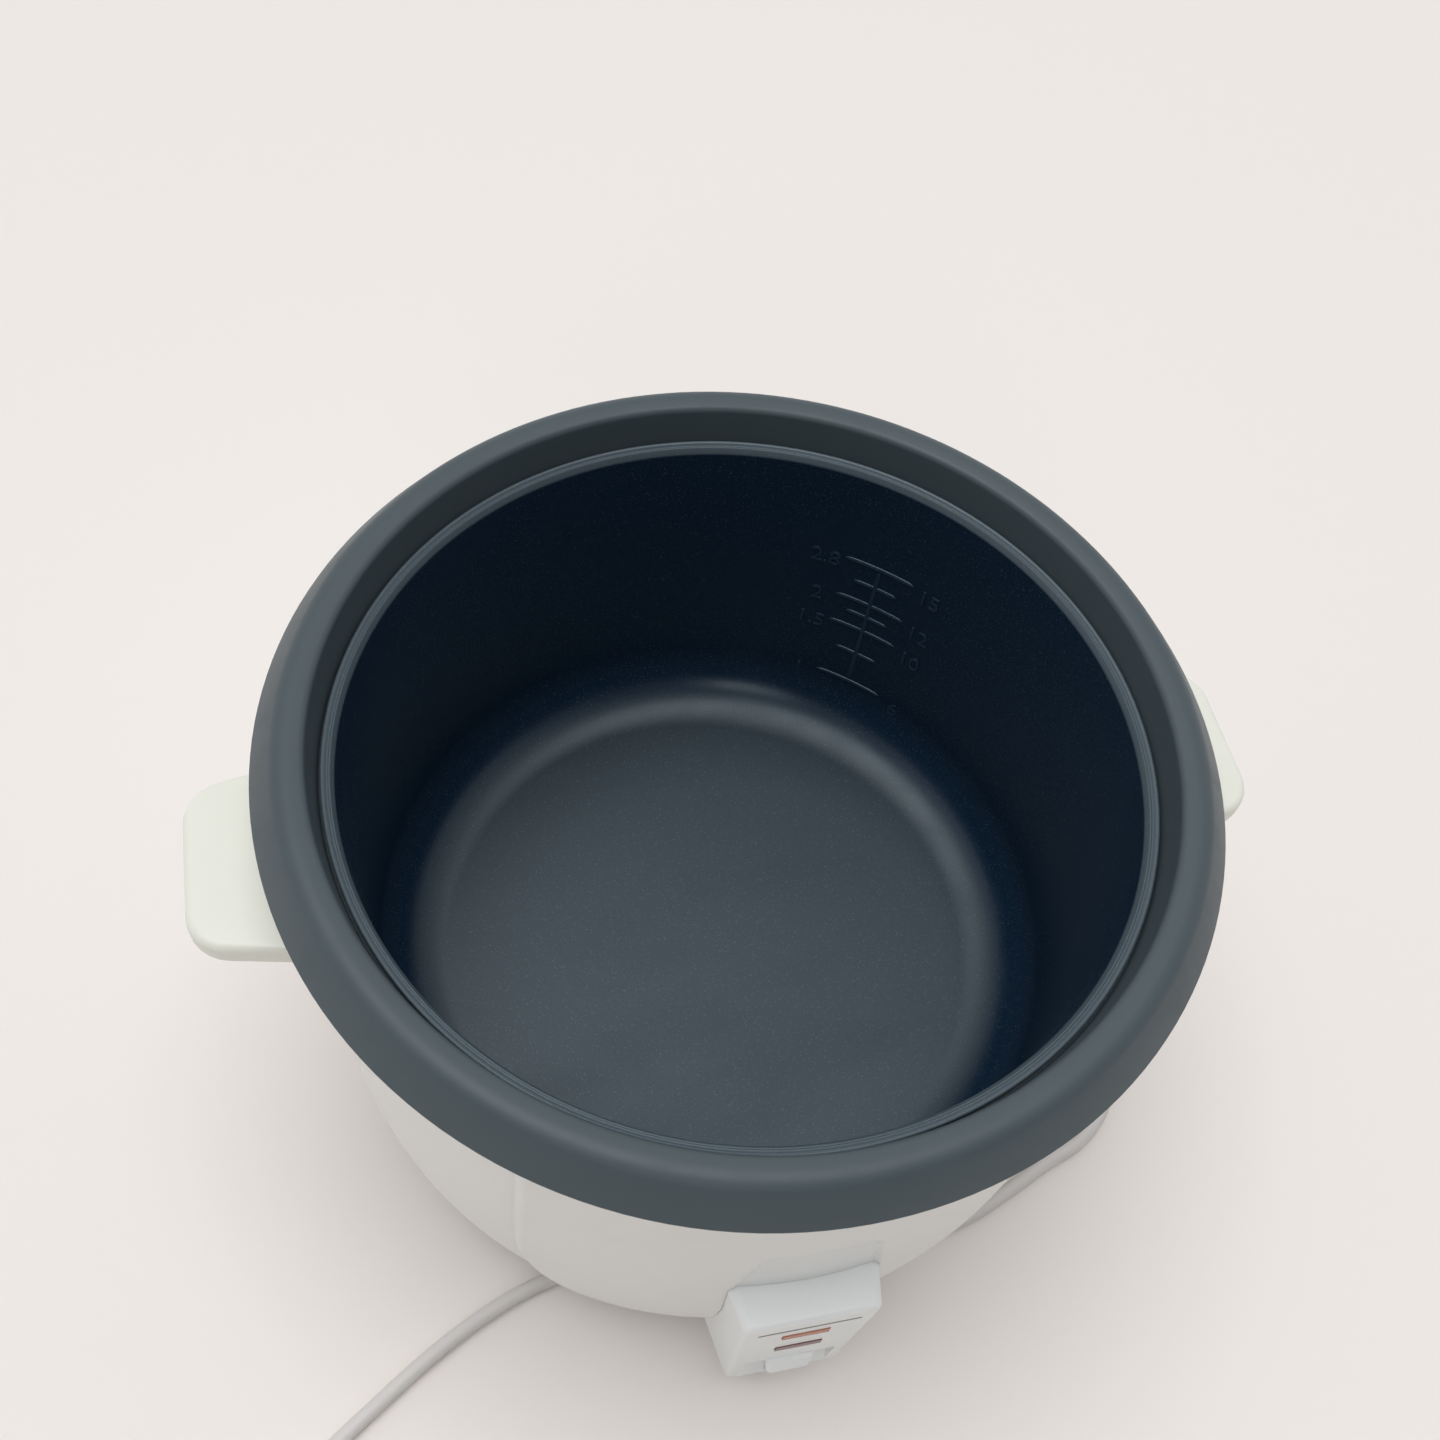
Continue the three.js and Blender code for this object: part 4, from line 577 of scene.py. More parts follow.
@dataclass(frozen=True)
class Finish:
    """A surface: its colour and gloss, how both vary, and its relief."""

    slot: Slot
    colour: str
    roughness: float
    metallic: float = 0.0
    mottle: float = 0.03
    mottle_scale: float = 30.0
    smudge: float = 0.06
    smudge_scale: float = 26.0
    grain_scale: float = 900.0
    grain_depth: float = 0.00002
    ring_pitch: float = 0.0
    ring_depth: float = 0.00001
    ring_wander: float = 0.0006
    coat: float = 0.0
    coat_roughness: float = 0.15
    specular: float = 0.5

    def colour_socket(self, graph: Graph) -> bpy.types.NodeSocket:
        """The colour after its mottling."""
        sockets = {"Color": linear(self.colour), "Scale": self.mottle_scale, "Amount": self.mottle}
        return place_effect(graph, Effect.MOTTLE, sockets)

    def roughness_socket(self, graph: Graph) -> bpy.types.NodeSocket:
        """The roughness after its handled patches."""
        sockets = {"Base": self.roughness, "Spread": self.smudge, "Scale": self.smudge_scale}
        return place_effect(graph, Effect.SMUDGE, sockets)

    def relief(self, graph: Graph) -> bpy.types.NodeSocket:
        """The normal after the moulded grain and, on turned pieces, the rings."""
        grain = place_effect(graph, Effect.GRAIN, {"Scale": self.grain_scale})
        bump = graph.add("Bump", {"Height": grain, "Distance": self.grain_depth, "Strength": 1.0})
        if self.ring_pitch <= 0:
            return bump.outputs[0]
        sockets = {"Pitch": self.ring_pitch, "Wander": self.ring_wander}
        rings = place_effect(graph, Effect.RINGS, sockets)
        again = {"Height": rings, "Distance": self.ring_depth, "Strength": 1.0, "Normal": bump.outputs[0]}
        return graph.add("Bump", again).outputs[0]

    def material(self) -> bpy.types.Material:
        """The finish as a material, made once.

        Returns:
            The material, named after its slot.
        """
        name = f"{self.slot.value}_{type(self).__name__.lower()}_{self.colour[1:]}"
        made = bpy.data.materials.get(name)
        if made is not None:
            return made
        made = bpy.data.materials.new(name)
        made.use_nodes = True
        graph = Graph(made.node_tree)
        shader = made.node_tree.nodes["Principled BSDF"]
        links = made.node_tree.links
        links.new(self.roughness_socket(graph), shader.inputs["Roughness"])
        links.new(self.colour_socket(graph), shader.inputs["Base Color"])
        links.new(self.relief(graph), shader.inputs["Normal"])
        shader.inputs["Metallic"].default_value = self.metallic
        shader.inputs["Coat Weight"].default_value = self.coat
        shader.inputs["Coat Roughness"].default_value = self.coat_roughness
        shader.inputs["Specular IOR Level"].default_value = self.specular
        self.extend(graph, shader)
        return made

    def extend(self, graph: Graph, shader: bpy.types.Node) -> None:
        """A plain finish adds nothing more."""


@dataclass(frozen=True)
class PotCoating(Finish):
    """A dark non-stick coat with fine pale flecks, worn duller on the floor and the flange, which are painted
    paler as a painted sheen and highlight of the overhead light.
    """

    fleck_scale: float = 1500.0
    fleck_low: float = 0.66
    fleck_high: float = 0.78
    fleck_colour: str = "#8494a0"
    fleck_share: float = 0.12
    # painted sheen: the floor's paler colour stands in for the overhead light on it
    floor_sheen_colour: str = "#27333c"
    # painted highlight: the flange's paler colour stands in for the light on its beads
    flange_colour: str = "#48535a"
    worn_roughness: float = 0.14
    floor_height: float = 0.0676
    floor_fade: float = 0.007
    flange_height: float = 0.2056
    flange_fade: float = 0.0012
    reflection_colour: str = "#e3f1fa"

    def sheen_and_wear_masks(self, graph: Graph) -> tuple[bpy.types.NodeSocket, bpy.types.NodeSocket]:
        """Where the coat has its painted sheen and highlight and is worn duller: below the foot of the wall's
        fillet, and above the mouth.
        """
        height = graph.parts(graph.place())["Z"]
        floor = graph.spread(height, self.floor_height, self.floor_height + self.floor_fade, 1.0, 0.0)
        flange = graph.spread(height, self.flange_height - self.flange_fade, self.flange_height, 0.0, 1.0)
        return floor, flange

    def colour_socket(self, graph: Graph) -> bpy.types.NodeSocket:
        """The coat's colour, painted paler on the floor and the flange as painted sheen and highlight, with
        flecks where a fine noise is high.
        """
        base = super().colour_socket(graph)
        # paints the floor's sheen and the flange's highlight over the coat's colour
        for mask, colour in zip(self.sheen_and_wear_masks(graph), (self.floor_sheen_colour, self.flange_colour)):
            base = graph.mixed(mask, base, linear(colour))
        fleck = graph.noise(graph.place(), self.fleck_scale, detail=0.0)
        mask = graph.spread(fleck, self.fleck_low, self.fleck_high, 0.0, self.fleck_share)
        return graph.mixed(mask, base, linear(self.fleck_colour))

    def roughness_socket(self, graph: Graph) -> bpy.types.NodeSocket:
        """The coat's roughness, and more of it where it's worn."""
        worn = graph.maths("MAXIMUM", *self.sheen_and_wear_masks(graph))
        return graph.maths("MULTIPLY_ADD", worn, self.worn_roughness, super().roughness_socket(graph))

    def extend(self, graph: Graph, shader: bpy.types.Node) -> None:
        """Gives the reflections the coat's own cool tint."""
        shader.inputs["Specular Tint"].default_value = linear(self.reflection_colour)


@dataclass(frozen=True)
class Dish:
    """The shallow dish in the panel over the switch box: widest at its foot, with round upper corners."""

    low: float = BOX_TOP
    high: float = 0.147
    half_width: float = 0.019
    spread: float = 0.007
    corner: float = 0.0065
    depth: float = 0.0015
    slope: float = 0.0022

    def depth_at(self, x: np.ndarray, z: np.ndarray) -> np.ndarray:
        """How deep it is: a smooth step of the distance inside its rounded outline."""
        share = np.clip((z - self.low) / (self.high - self.low), 0, 1)
        side = self.half_width + self.spread * (1 - share) - np.abs(x)
        short_side = np.maximum(self.corner - side, 0)
        short_top = np.maximum(self.corner - (self.high - z), 0)
        return self.depth * smooth_step((self.corner - np.hypot(short_side, short_top)) / self.slope)


DISH = Dish()


@dataclass(frozen=True)
class DishShadedPlastic(Finish):
    """White plastic with a painted shade inside the dish: a cooler tone there stands in for its shade."""

    # painted shade: the dish's cooler tone stands in for the shade inside it
    dish_shade_colour: str = "#e7e8e6"
    fade: float = 0.0009

    def dish_shade_mask(self, graph: Graph) -> bpy.types.NodeSocket:
        """Where the painted shade lies: the dish, as a smooth step at its outline with round corners, above
        the switch box.
        """
        parts = graph.parts(graph.place())
        fall = graph.maths("SUBTRACT", DISH.high, parts["Z"])
        slope = DISH.spread / (DISH.high - DISH.low)
        width = graph.maths("MULTIPLY_ADD", fall, slope, DISH.half_width)
        side = graph.maths("SUBTRACT", width, graph.maths("ABSOLUTE", parts["X"]))
        short_side = graph.maths("MAXIMUM", graph.maths("SUBTRACT", DISH.corner, side), 0.0)
        short_top = graph.maths("MAXIMUM", graph.maths("SUBTRACT", DISH.corner, fall), 0.0)
        reach = graph.reach(short_side, short_top)
        above_box = graph.spread(parts["Z"], DISH.low - self.fade, DISH.low, 0.0, 1.0)
        inside = graph.spread(reach, DISH.corner - self.fade, DISH.corner, 1.0, 0.0)
        return graph.maths("MULTIPLY", inside, above_box)

    def colour_socket(self, graph: Graph) -> bpy.types.NodeSocket:
        """The plastic's colour, mixed with the painted shade's colour inside the dish."""
        return graph.mixed(self.dish_shade_mask(graph), super().colour_socket(graph), linear(self.dish_shade_colour))


@dataclass(frozen=True)
class ClearLens(Finish):
    """A coloured window that lets some light through."""

    clearness: float = 0.25

    def extend(self, graph: Graph, shader: bpy.types.Node) -> None:
        """Lets some light through."""
        shader.inputs["Transmission Weight"].default_value = self.clearness


class Finishes:
    """Every finish of the rice cooker. The first one with a slot is also for nodes that keep their shape."""

    WHITE = Finish(Slot.WHITE_PLASTIC, "#e8e7e4", 0.34, mottle=0.012, smudge=0.1, coat=0.08)
    BOX = Finish(Slot.WHITE_PLASTIC, "#eff1f0", 0.32, mottle=0.012, smudge=0.1, coat=0.1)
    PANEL = DishShadedPlastic(Slot.WHITE_PLASTIC, "#e8e7e4", 0.34, mottle=0.012, smudge=0.1, coat=0.08)
    HANDLE = Finish(Slot.HANDLE_PLASTIC, "#e8e8dd", 0.4, mottle=0.015, smudge=0.12, coat=0.06)
    RIM = Finish(
        Slot.RIM_PLASTIC,
        "#465156",
        0.44,
        mottle=0.05,
        smudge=0.1,
        grain_scale=1400.0,
        grain_depth=0.00003,
        specular=0.42,
    )
    POT = PotCoating(
        Slot.POT_COATING,
        "#11263a",
        0.25,
        mottle=0.08,
        smudge=0.1,
        smudge_scale=9.0,
        grain_scale=1800.0,
        grain_depth=0.00001,
        ring_pitch=0.0012,
        ring_depth=0.0000015,
        specular=0.62,
    )
    MARKS = PotCoating(Slot.POT_COATING, "#22394c", 0.3, mottle=0.08, specular=0.7)
    ALUMINIUM = Finish(
        Slot.CAST_ALUMINIUM, "#a9abad", 0.38, 0.9, mottle=0.08, ring_pitch=0.0016, ring_depth=0.00003
    )
    ZINC = Finish(Slot.ZINC_STEEL, "#b3b6b8", 0.34, 0.9, mottle=0.1, mottle_scale=120.0, smudge=0.15)
    SPRING = Finish(Slot.SPRING_STEEL, "#8d9093", 0.3, 0.9, mottle=0.05)
    FERRITE = Finish(Slot.FERRITE, "#2c2b2b", 0.7, mottle=0.1, grain_depth=0.00006)
    ORANGE = ClearLens(Slot.ORANGE_LENS, "#c46a38", 0.22, mottle=0.05, smudge=0.05)
    RED = ClearLens(Slot.RED_LENS, "#74302b", 0.22, mottle=0.05, smudge=0.05)
    GLASS = ClearLens(Slot.LAMP_GLASS, "#d9d4c8", 0.08, smudge=0.02, clearness=0.85)
    BLACK = Finish(Slot.BLACK_PLASTIC, "#222324", 0.5, mottle=0.06)
    MICA = Finish(Slot.MICA, "#b59a62", 0.55, mottle=0.25, mottle_scale=160.0)
    BRASS = Finish(Slot.BRASS_ALLOY, "#c6a766", 0.28, 0.9, mottle=0.05, smudge=0.12)
    INK = Finish(Slot.BLACK_PLASTIC, "#77786f", 0.5, mottle=0.05)
    RUBBER = Finish(Slot.FOOT_RUBBER, "#3a3a3a", 0.75, mottle=0.06, grain_depth=0.00005)
    CORD = Finish(Slot.CORD_SHEATH, "#d3cfcc", 0.46, mottle=0.03, smudge=0.1, grain_depth=0.00002)
    WIRE = Finish(Slot.WIRE_SHEATH, "#c9c2b2", 0.55, mottle=0.05)

    @classmethod
    def by_slot(cls) -> dict[str, Finish]:
        """Each record slot's finish: the first that is named for it."""
        made = {}
        for finish in vars(cls).values():
            if isinstance(finish, Finish):
                made.setdefault(finish.slot.value, finish)
        return made


# Pieces


def linked(name: str, data: bpy.types.ID) -> bpy.types.Object:
    """An object for some data, in the scene."""
    made = bpy.data.objects.new(name, data)
    bpy.context.scene.collection.objects.link(made)
    return made


def shaped(name: str, solid: Solid) -> bpy.types.Object:
    """An object whose mesh is a surface."""
    mesh = bpy.data.meshes.new(name)
    mesh.from_pydata(solid.points.tolist(), [], [row for rows in solid.faces for row in rows.tolist()])
    mesh.update()
    return linked(name, mesh)


def smooth(mesh: bpy.types.Mesh) -> None:
    """Shades a mesh smooth, but for the edges that turn more than the sharp angle."""
    mesh.shade_smooth()
    mesh.set_sharp_from_angle(angle=SHARP_ANGLE)


def cover(piece: bpy.types.Object, finish: Finish) -> None:
    """Gives a piece its material."""
    piece.data.materials.clear()
    piece.data.materials.append(finish.material())


def add_piece(
    name: str, solid: Solid, finish: Finish, carrier: Carrier, stands_for: Iterable[str] = ()
) -> bpy.types.Object:
    """Makes a surface a piece of the cooker.

    Args:
        name: the piece's name.
        solid: its surface.
        finish: what covers it.
        carrier: the body it rides on.
        stands_for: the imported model's nodes that it replaces.

    Returns:
        The piece's object, at the origin.
    """
    piece = shaped(name, solid)
    cover(piece, finish)
    smooth(piece.data)
    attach(piece, carrier.value)
    if stands_for:
        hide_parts(*stands_for)
    log.info("%s: %d faces, %s", name, len(piece.data.polygons), finish.slot.value)
    return piece


def carve(piece: bpy.types.Object, steps: Sequence[tuple[str, Solid]]) -> None:
    """Cuts or joins surfaces to a piece, in order, and leaves one plain mesh.

    Args:
        piece: the piece.
        steps: DIFFERENCE or UNION, and the other surface.
    """
    tools = [shaped("tool", solid) for _, solid in steps]
    for (operation, _), tool in zip(steps, tools):
        change = piece.modifiers.new("carve", "BOOLEAN")
        change.operation, change.object, change.solver = operation, tool, "MANIFOLD"
    bpy.context.view_layer.update()
    evaluated = piece.evaluated_get(bpy.context.evaluated_depsgraph_get())
    carved = bpy.data.meshes.new_from_object(evaluated)
    piece.modifiers.clear()
    material = piece.data.materials[0]
    piece.data = carved
    carved.name = piece.name
    carved.materials.clear()
    carved.materials.append(material)
    for tool in tools:
        bpy.data.objects.remove(tool)
    smooth(carved)


def soften(piece: bpy.types.Object, width: float) -> None:
    """Rounds a piece's sharp edges with a live bevel."""
    bevel = piece.modifiers.new("soft_edges", "BEVEL")
    bevel.width, bevel.segments = width, SOFT_SEGMENTS
    bevel.limit_method, bevel.angle_limit = "ANGLE", SOFT_ANGLE
    bevel.use_clamp_overlap = True


@dataclass(frozen=True)
class BodySide:
    """The body's outer side: straight above the waist, and a quarter ellipse tucked in below it."""

    waist_height: float = 0.098
    waist_radius: float = 0.1435
    tuck_depth: float = 0.028
    tuck_semi_height: float = 0.084
    floor_height: float = 0.015
    top_radius: float = 0.1475
    top_height: float = 0.2182
    tuck_steps: int = 60

    def curve(self, off: float = 0.0) -> np.ndarray:
        """The side moved out square to itself: rows of radius and height from the floor up.

        At angle t the ellipse has r = waist - depth (1 - cos t) and z = waist - height sin t.
        """
        reach = math.asin((self.waist_height - self.floor_height) / self.tuck_semi_height)
        t = np.linspace(reach, 0, self.tuck_steps)
        square = np.stack([self.tuck_semi_height * np.cos(t), -self.tuck_depth * np.sin(t)], axis=-1)
        square /= np.linalg.norm(square, axis=1, keepdims=True)
        radius = self.waist_radius - self.tuck_depth * (1 - np.cos(t))
        height = self.waist_height - self.tuck_semi_height * np.sin(t)
        lower = np.stack([radius, height], axis=-1) + off * square
        return np.vstack([lower, [self.top_radius + off, self.top_height]])

    def radius_at(self, height: np.ndarray | float, off: float = 0.0) -> np.ndarray:
        """Radius at a height, read off the curve."""
        radius, level = self.curve(off).T
        return np.interp(height, level, radius)

    def run(self, off: float, low: float, high: float) -> np.ndarray:
        """The side from one height to another."""
        curve = self.curve(off)
        inside = curve[(curve[:, 1] > low) & (curve[:, 1] < high)]
        first = [float(self.radius_at(low, off)), low]
        last = [float(self.radius_at(high, off)), high]
        return np.vstack([first, inside, last])

    def filled(self, off: float, low: float, high: float) -> Solid:
        """All the space inside the side."""
        return lathe(np.vstack([[0, low], self.run(off, low, high), [0, high]]))


SIDE = BodySide()


@dataclass
class RimRing:
    """The dark ring round the pot: a sloping skirt, a flat top, and a recess with a ledge."""

    crease_radius: float = 0.1485
    crease_height: float = 0.222
    crease_round: float = 0.0072
    skirt_radius: float = 0.1585
    skirt_height: float = 0.208
    skirt_inset: float = 0.00307
    inner_radius: float = 0.14
    inner_height: float = 0.2207
    inner_round: float = 0.0026
    recess_radius: float = 0.1378
    recess_height: float = 0.2075
    ledge_radius: float = 0.1359
    ledge_step: float = 0.00063
    ledge_top: float = 0.2048
    ledge_bottom: float = 0.2029
    wall: float = 0.0025
    roof_height: float = 0.2185
    roof_radius: float = 0.14793
    edge_round: float = 0.0009
    step_round: float = 0.0005

    def profile(self) -> np.ndarray:
        """The ring's section, from the foot of the skirt over the top and down to the ledge."""
        edge, step = self.edge_round, self.step_round
        return rounded([
            (self.skirt_radius, self.skirt_height, edge),
            (self.crease_radius, self.crease_height, self.crease_round),
            (self.inner_radius, self.inner_height, self.inner_round),
            (self.recess_radius, self.recess_height, edge),
            (self.recess_radius - self.ledge_step, self.ledge_top, step),
            (self.ledge_radius, self.ledge_top, step),
            (self.ledge_radius, self.ledge_bottom, step),
            (self.recess_radius + self.wall, self.ledge_bottom, step),
            (self.recess_radius + self.wall, self.recess_height, edge),
            (self.inner_radius + self.wall, self.roof_height, edge),
            (self.roof_radius, self.roof_height, edge),
            (self.skirt_radius - self.skirt_inset, self.skirt_height, edge),
        ])

    def build(self) -> None:
        """Turns the section about the cooker's middle."""
        add_piece("moulded_rim", lathe(self.profile()), Finishes.RIM, Carrier.COOKER, ["rim_ring"])


@dataclass
class BodyShell:
    """The white body with its floor lip, and the boss that the cord comes out of."""

    wall: float = 0.0018
    lip_width: float = 0.014
    lip_thickness: float = 0.002
    boss_radius: float = 0.0105
    boss_length: float = 0.016
    boss_edge: float = 0.0012
    bore_radius: float = 0.006
    window_half_width: float = 0.016
    window_low: float = 0.0272
    window_high: float = 0.1008
    overrun: float = 0.02

    def build(self) -> None:
        """Turns the shell, joins the boss to it, and cuts the bore and the front window."""
        low = SIDE.floor_height
        lip_top = low + self.lip_thickness
        lip_radius = float(SIDE.radius_at(low)) - self.lip_width
        inner = SIDE.run(-self.wall, lip_top, SIDE.top_height)[::-1]
        lip = [[lip_radius, lip_top], [lip_radius, low]]
        profile = np.vstack([SIDE.run(0, low, SIDE.top_height), inner, lip])
        piece = add_piece("body_casing", lathe(profile), Finishes.WHITE, Carrier.COOKER, ["body_shell"])
        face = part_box("cord_gland")[1].y - CordGuard().reach
        front = SIDE.waist_radius + self.overrun
        boss = cylinder(self.boss_radius, 0, self.boss_length, self.boss_edge)
        bore = cylinder(self.bore_radius, -self.overrun, self.boss_length + self.overrun)
        stand = pointing((0, face - self.boss_length, CORD_EXIT), (0, 1, 0))
        window = box_solid(
            (-self.window_half_width, -front, self.window_low),
            (self.window_half_width, -SIDE.waist_radius + SIDE.tuck_depth, self.window_high),
        )
        carve(piece, [
            ("UNION", boss.moved(stand)),
            ("DIFFERENCE", bore.moved(stand)),
            ("DIFFERENCE", window),
        ])


@dataclass
class SwitchBox:
    """The box on the front with the two lamp windows and the lever's pocket."""

    top: float = BOX_TOP
    bottom: float = 0.022
    top_half_width: float = 0.0235
    bottom_half_width: float = 0.0212
    reach: float = 0.1582
    lean: float = 0.0031
    wall: float = 0.0018
    lower_round: float = 0.0062
    upper_round: float = 0.003
    lip_round: float = 0.0019
    window_half_width: float = 0.0085
    window_half_height: float = 0.0025
    line_height: float = 0.0955
    line_half_width: float = 0.018
    line_thickness: float = 0.0019
    line_rise: float = 0.00004
    pocket_top: float = 0.048
    pocket_bottom: float = 0.026
    pocket_half_width: float = 0.0166
    pocket_depth: float = 0.0105
    slot_half_width: float = 0.006
    slot_bottom: float = 0.0269
    slot_top: float = 0.0465
    overrun: float = 0.008
    flare: float = 0.18
    body_gap: float = 0.0003
    soft_edge: float = 0.00035

    def face_at(self, height: float) -> float:
        """Y of the leaning face at a height."""
        share = (self.top - height) / (self.top - self.bottom)
        return self.lean * share - self.reach

    def leaned(self, solid: Solid) -> Solid:
        """A shape sheared with the face: y grows by lean times the share of the height below the top."""
        points = solid.points.copy()
        points[:, 1] += self.lean * (self.top - points[:, 2]) / (self.top - self.bottom)
        return Solid(points, solid.faces).outward()

    def flared(self, solid: Solid) -> Solid:
        """A shape whose sides draw out toward the body.

        At a depth d behind the face x is scaled by 1 + flare d / w, with w half the box's width.
        """
        points = solid.points.copy()
        points[:, 0] *= 1 + self.flare * (points[:, 1] + self.reach) / self.top_half_width
        return Solid(points, solid.faces)

    def form(self, inset: float, front: float, back: float, edge: float = 0.0) -> Solid:
        """The box's filled form, drawn in by an inset."""
        low, high = self.bottom + inset, self.top - inset
        foot, head = self.bottom_half_width - inset, self.top_half_width - inset
        outline = tapered((foot, low, self.lower_round), (head, high, self.upper_round))
        return self.leaned(self.flared(slab(outline, front, back, edge, Plane.FRONT)))

    def pocket_form(self, grow: float, front: float) -> Solid:
        """The lever's pocket, or the wall behind it: deep at the top and flush at its foot."""
        top, bottom = self.pocket_top + grow, self.pocket_bottom - grow
        outline = np.array([
            (self.face_at(top) + front, top),
            (self.face_at(top) + self.pocket_depth + grow, top),
            (self.face_at(bottom) + 2 * grow, bottom),
            (self.face_at(bottom) + front, bottom),
        ])
        half = self.pocket_half_width + grow
        return slab(outline, -half, half, 0, Plane.SIDE)

    def build(self) -> None:
        """Hollows the form, sets the pocket in it, and cuts the windows and the lever's slot."""
        back = -SIDE.waist_radius + SIDE.tuck_depth + self.overrun
        outer = self.form(0, -self.reach, back, self.lip_round)
        piece = add_piece("switch_housing", outer, Finishes.BOX, Carrier.COOKER, ["switch_box"])
        cavity = self.form(self.wall, self.wall - self.reach, back + self.overrun)
        steps = [
            ("DIFFERENCE", cavity),
            ("UNION", self.pocket_form(self.wall, self.wall / 2)),
            ("DIFFERENCE", SIDE.filled(self.body_gap, 0, SIDE.top_height)),
            ("DIFFERENCE", self.pocket_form(0, -self.overrun)),
        ]
        for name in ("cook_lamp_lens", "warm_lamp_lens"):
            low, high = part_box(name)
            middle = (low.z + high.z) / 2
            steps.append(("DIFFERENCE", box_solid(
                (-self.window_half_width, -self.reach - self.overrun, middle - self.window_half_height),
                (self.window_half_width, back, middle + self.window_half_height),
            )))
        steps.append(("DIFFERENCE", box_solid(
            (-self.slot_half_width, self.face_at(self.pocket_top), self.slot_bottom),
            (self.slot_half_width, back, self.slot_top),
        )))
        carve(piece, steps)
        soften(piece, self.soft_edge)
        self.print_line()

    def print_line(self) -> None:
        """A plain printed line over the lamp windows."""
        half, thin = self.line_half_width, self.line_thickness / 2
        outline = tapered((half, self.line_height - thin, thin), (half, self.line_height + thin, thin))
        print_back = self.line_rise - self.reach
        line = self.leaned(slab(outline, -self.reach - self.line_rise, print_back, 0, Plane.FRONT))
        add_piece("printed_line", line, Finishes.INK, Carrier.COOKER)


@dataclass
class FrontPanel:
    """The raised panel on the front with round lower corners and a shallow dish over the switch box."""

    half_width: float = 0.09198
    bottom: float = 0.038
    top: float = 0.206
    corner: float = 0.062
    gap: float = 0.0003
    thickness: float = 0.0023
    edge: float = 0.003
    edge_fall: float = 0.0018
    rows: int = 150
    columns: int = 190
    least_rise: float = 1e-9

    def half_width_at(self, t: np.ndarray) -> tuple[np.ndarray, np.ndarray]:
        """Half width and height along the panel's side.

        Up to t = 1 the side follows the quadratic curve whose three points are a corner length
        beside the corner, the corner, and a corner length above it. From there it is upright.
        """
        s = np.clip(t, 0, 1)
        start = self.half_width - self.corner
        width = start * (1 - s) ** 2 + 2 * self.half_width * s * (1 - s) + self.half_width * s**2
        height = self.bottom + self.corner * s**2
        above = np.clip(t - 1, 0, 1) * (self.top - self.bottom - self.corner)
        return width, height + above

    def skin(self, off: np.ndarray, x: np.ndarray, z: np.ndarray) -> np.ndarray:
        """Points off the body's side: y = -sqrt(R(z)^2 - x^2), with R the side's radius plus off."""
        radius = SIDE.radius_at(z) + off
        return np.stack([x, -np.sqrt(radius**2 - x**2), z], axis=-1)

    def surface(self) -> Solid:
        """The panel: an outer skin with a rolled border over an inner one.

        Near the border the outer skin falls by fall (1 - sqrt(1 - (1 - d / edge)^2)) at a distance d.
        """
        half = self.rows // 2
        t = np.concatenate([np.linspace(0, 1, half, endpoint=False), np.linspace(1, 2, half)])
        width, height = self.half_width_at(t)
        s = np.sin(np.linspace(-math.pi / 2, math.pi / 2, self.columns))
        x = width[:, None] * s[None, :]
        z = np.repeat(height[:, None], self.columns, axis=1)
        slope = np.gradient(width, t) / np.maximum(np.gradient(height, t), self.least_rise)
        beside = (width[:, None] - np.abs(x)) / np.hypot(1, slope)[:, None]
        near = np.minimum(np.minimum(beside, z - self.bottom), self.top - z)
        share = 1 - np.clip(near / self.edge, 0, 1)
        roll = self.edge_fall * (1 - np.sqrt(1 - share**2))
        outer = self.skin(self.gap + self.thickness - roll - DISH.depth_at(x, z), x, z)
        inner = self.skin(np.full_like(x, self.gap), x, z)
        return sheet_solid(outer, inner)

    def build(self, box: SwitchBox) -> None:
        """Makes the panel and cuts the switch box's place out of it."""
        piece = add_piece("front_fascia", self.surface(), Finishes.PANEL, Carrier.COOKER, ["front_panel"])
        hole = box.form(-SEAT_GAP, -box.reach - box.overrun, -SIDE.waist_radius + SIDE.tuck_depth)
        carve(piece, [("DIFFERENCE", hole)])


def sheet_solid(outer: np.ndarray, inner: np.ndarray) -> Solid:
    """The closed surface between two grids of points with the same layout.

    Args:
        outer: rows and columns of points of one skin.
        inner: the same for the other.

    Returns:
        Both skins and the strip that joins them along their border.
    """
    rows, columns = outer.shape[:2]
    index = np.arange(rows * columns).reshape(rows, columns)
    corners = [index[:-1, :-1], index[:-1, 1:], index[1:, 1:], index[1:, :-1]]
    quads = np.stack(corners, axis=-1).reshape(-1, 4)
    border = np.concatenate([index[0, :-1], index[:-1, -1], index[-1, :0:-1], index[:0:-1, 0]])
    ahead = np.roll(border, -1)
    under = rows * columns
    strip = np.stack([border, border + under, ahead + under, ahead], axis=-1)
    points = np.concatenate([outer.reshape(-1, 3), inner.reshape(-1, 3)])
    return Solid(points, [quads, quads[:, ::-1] + under, strip]).outward()


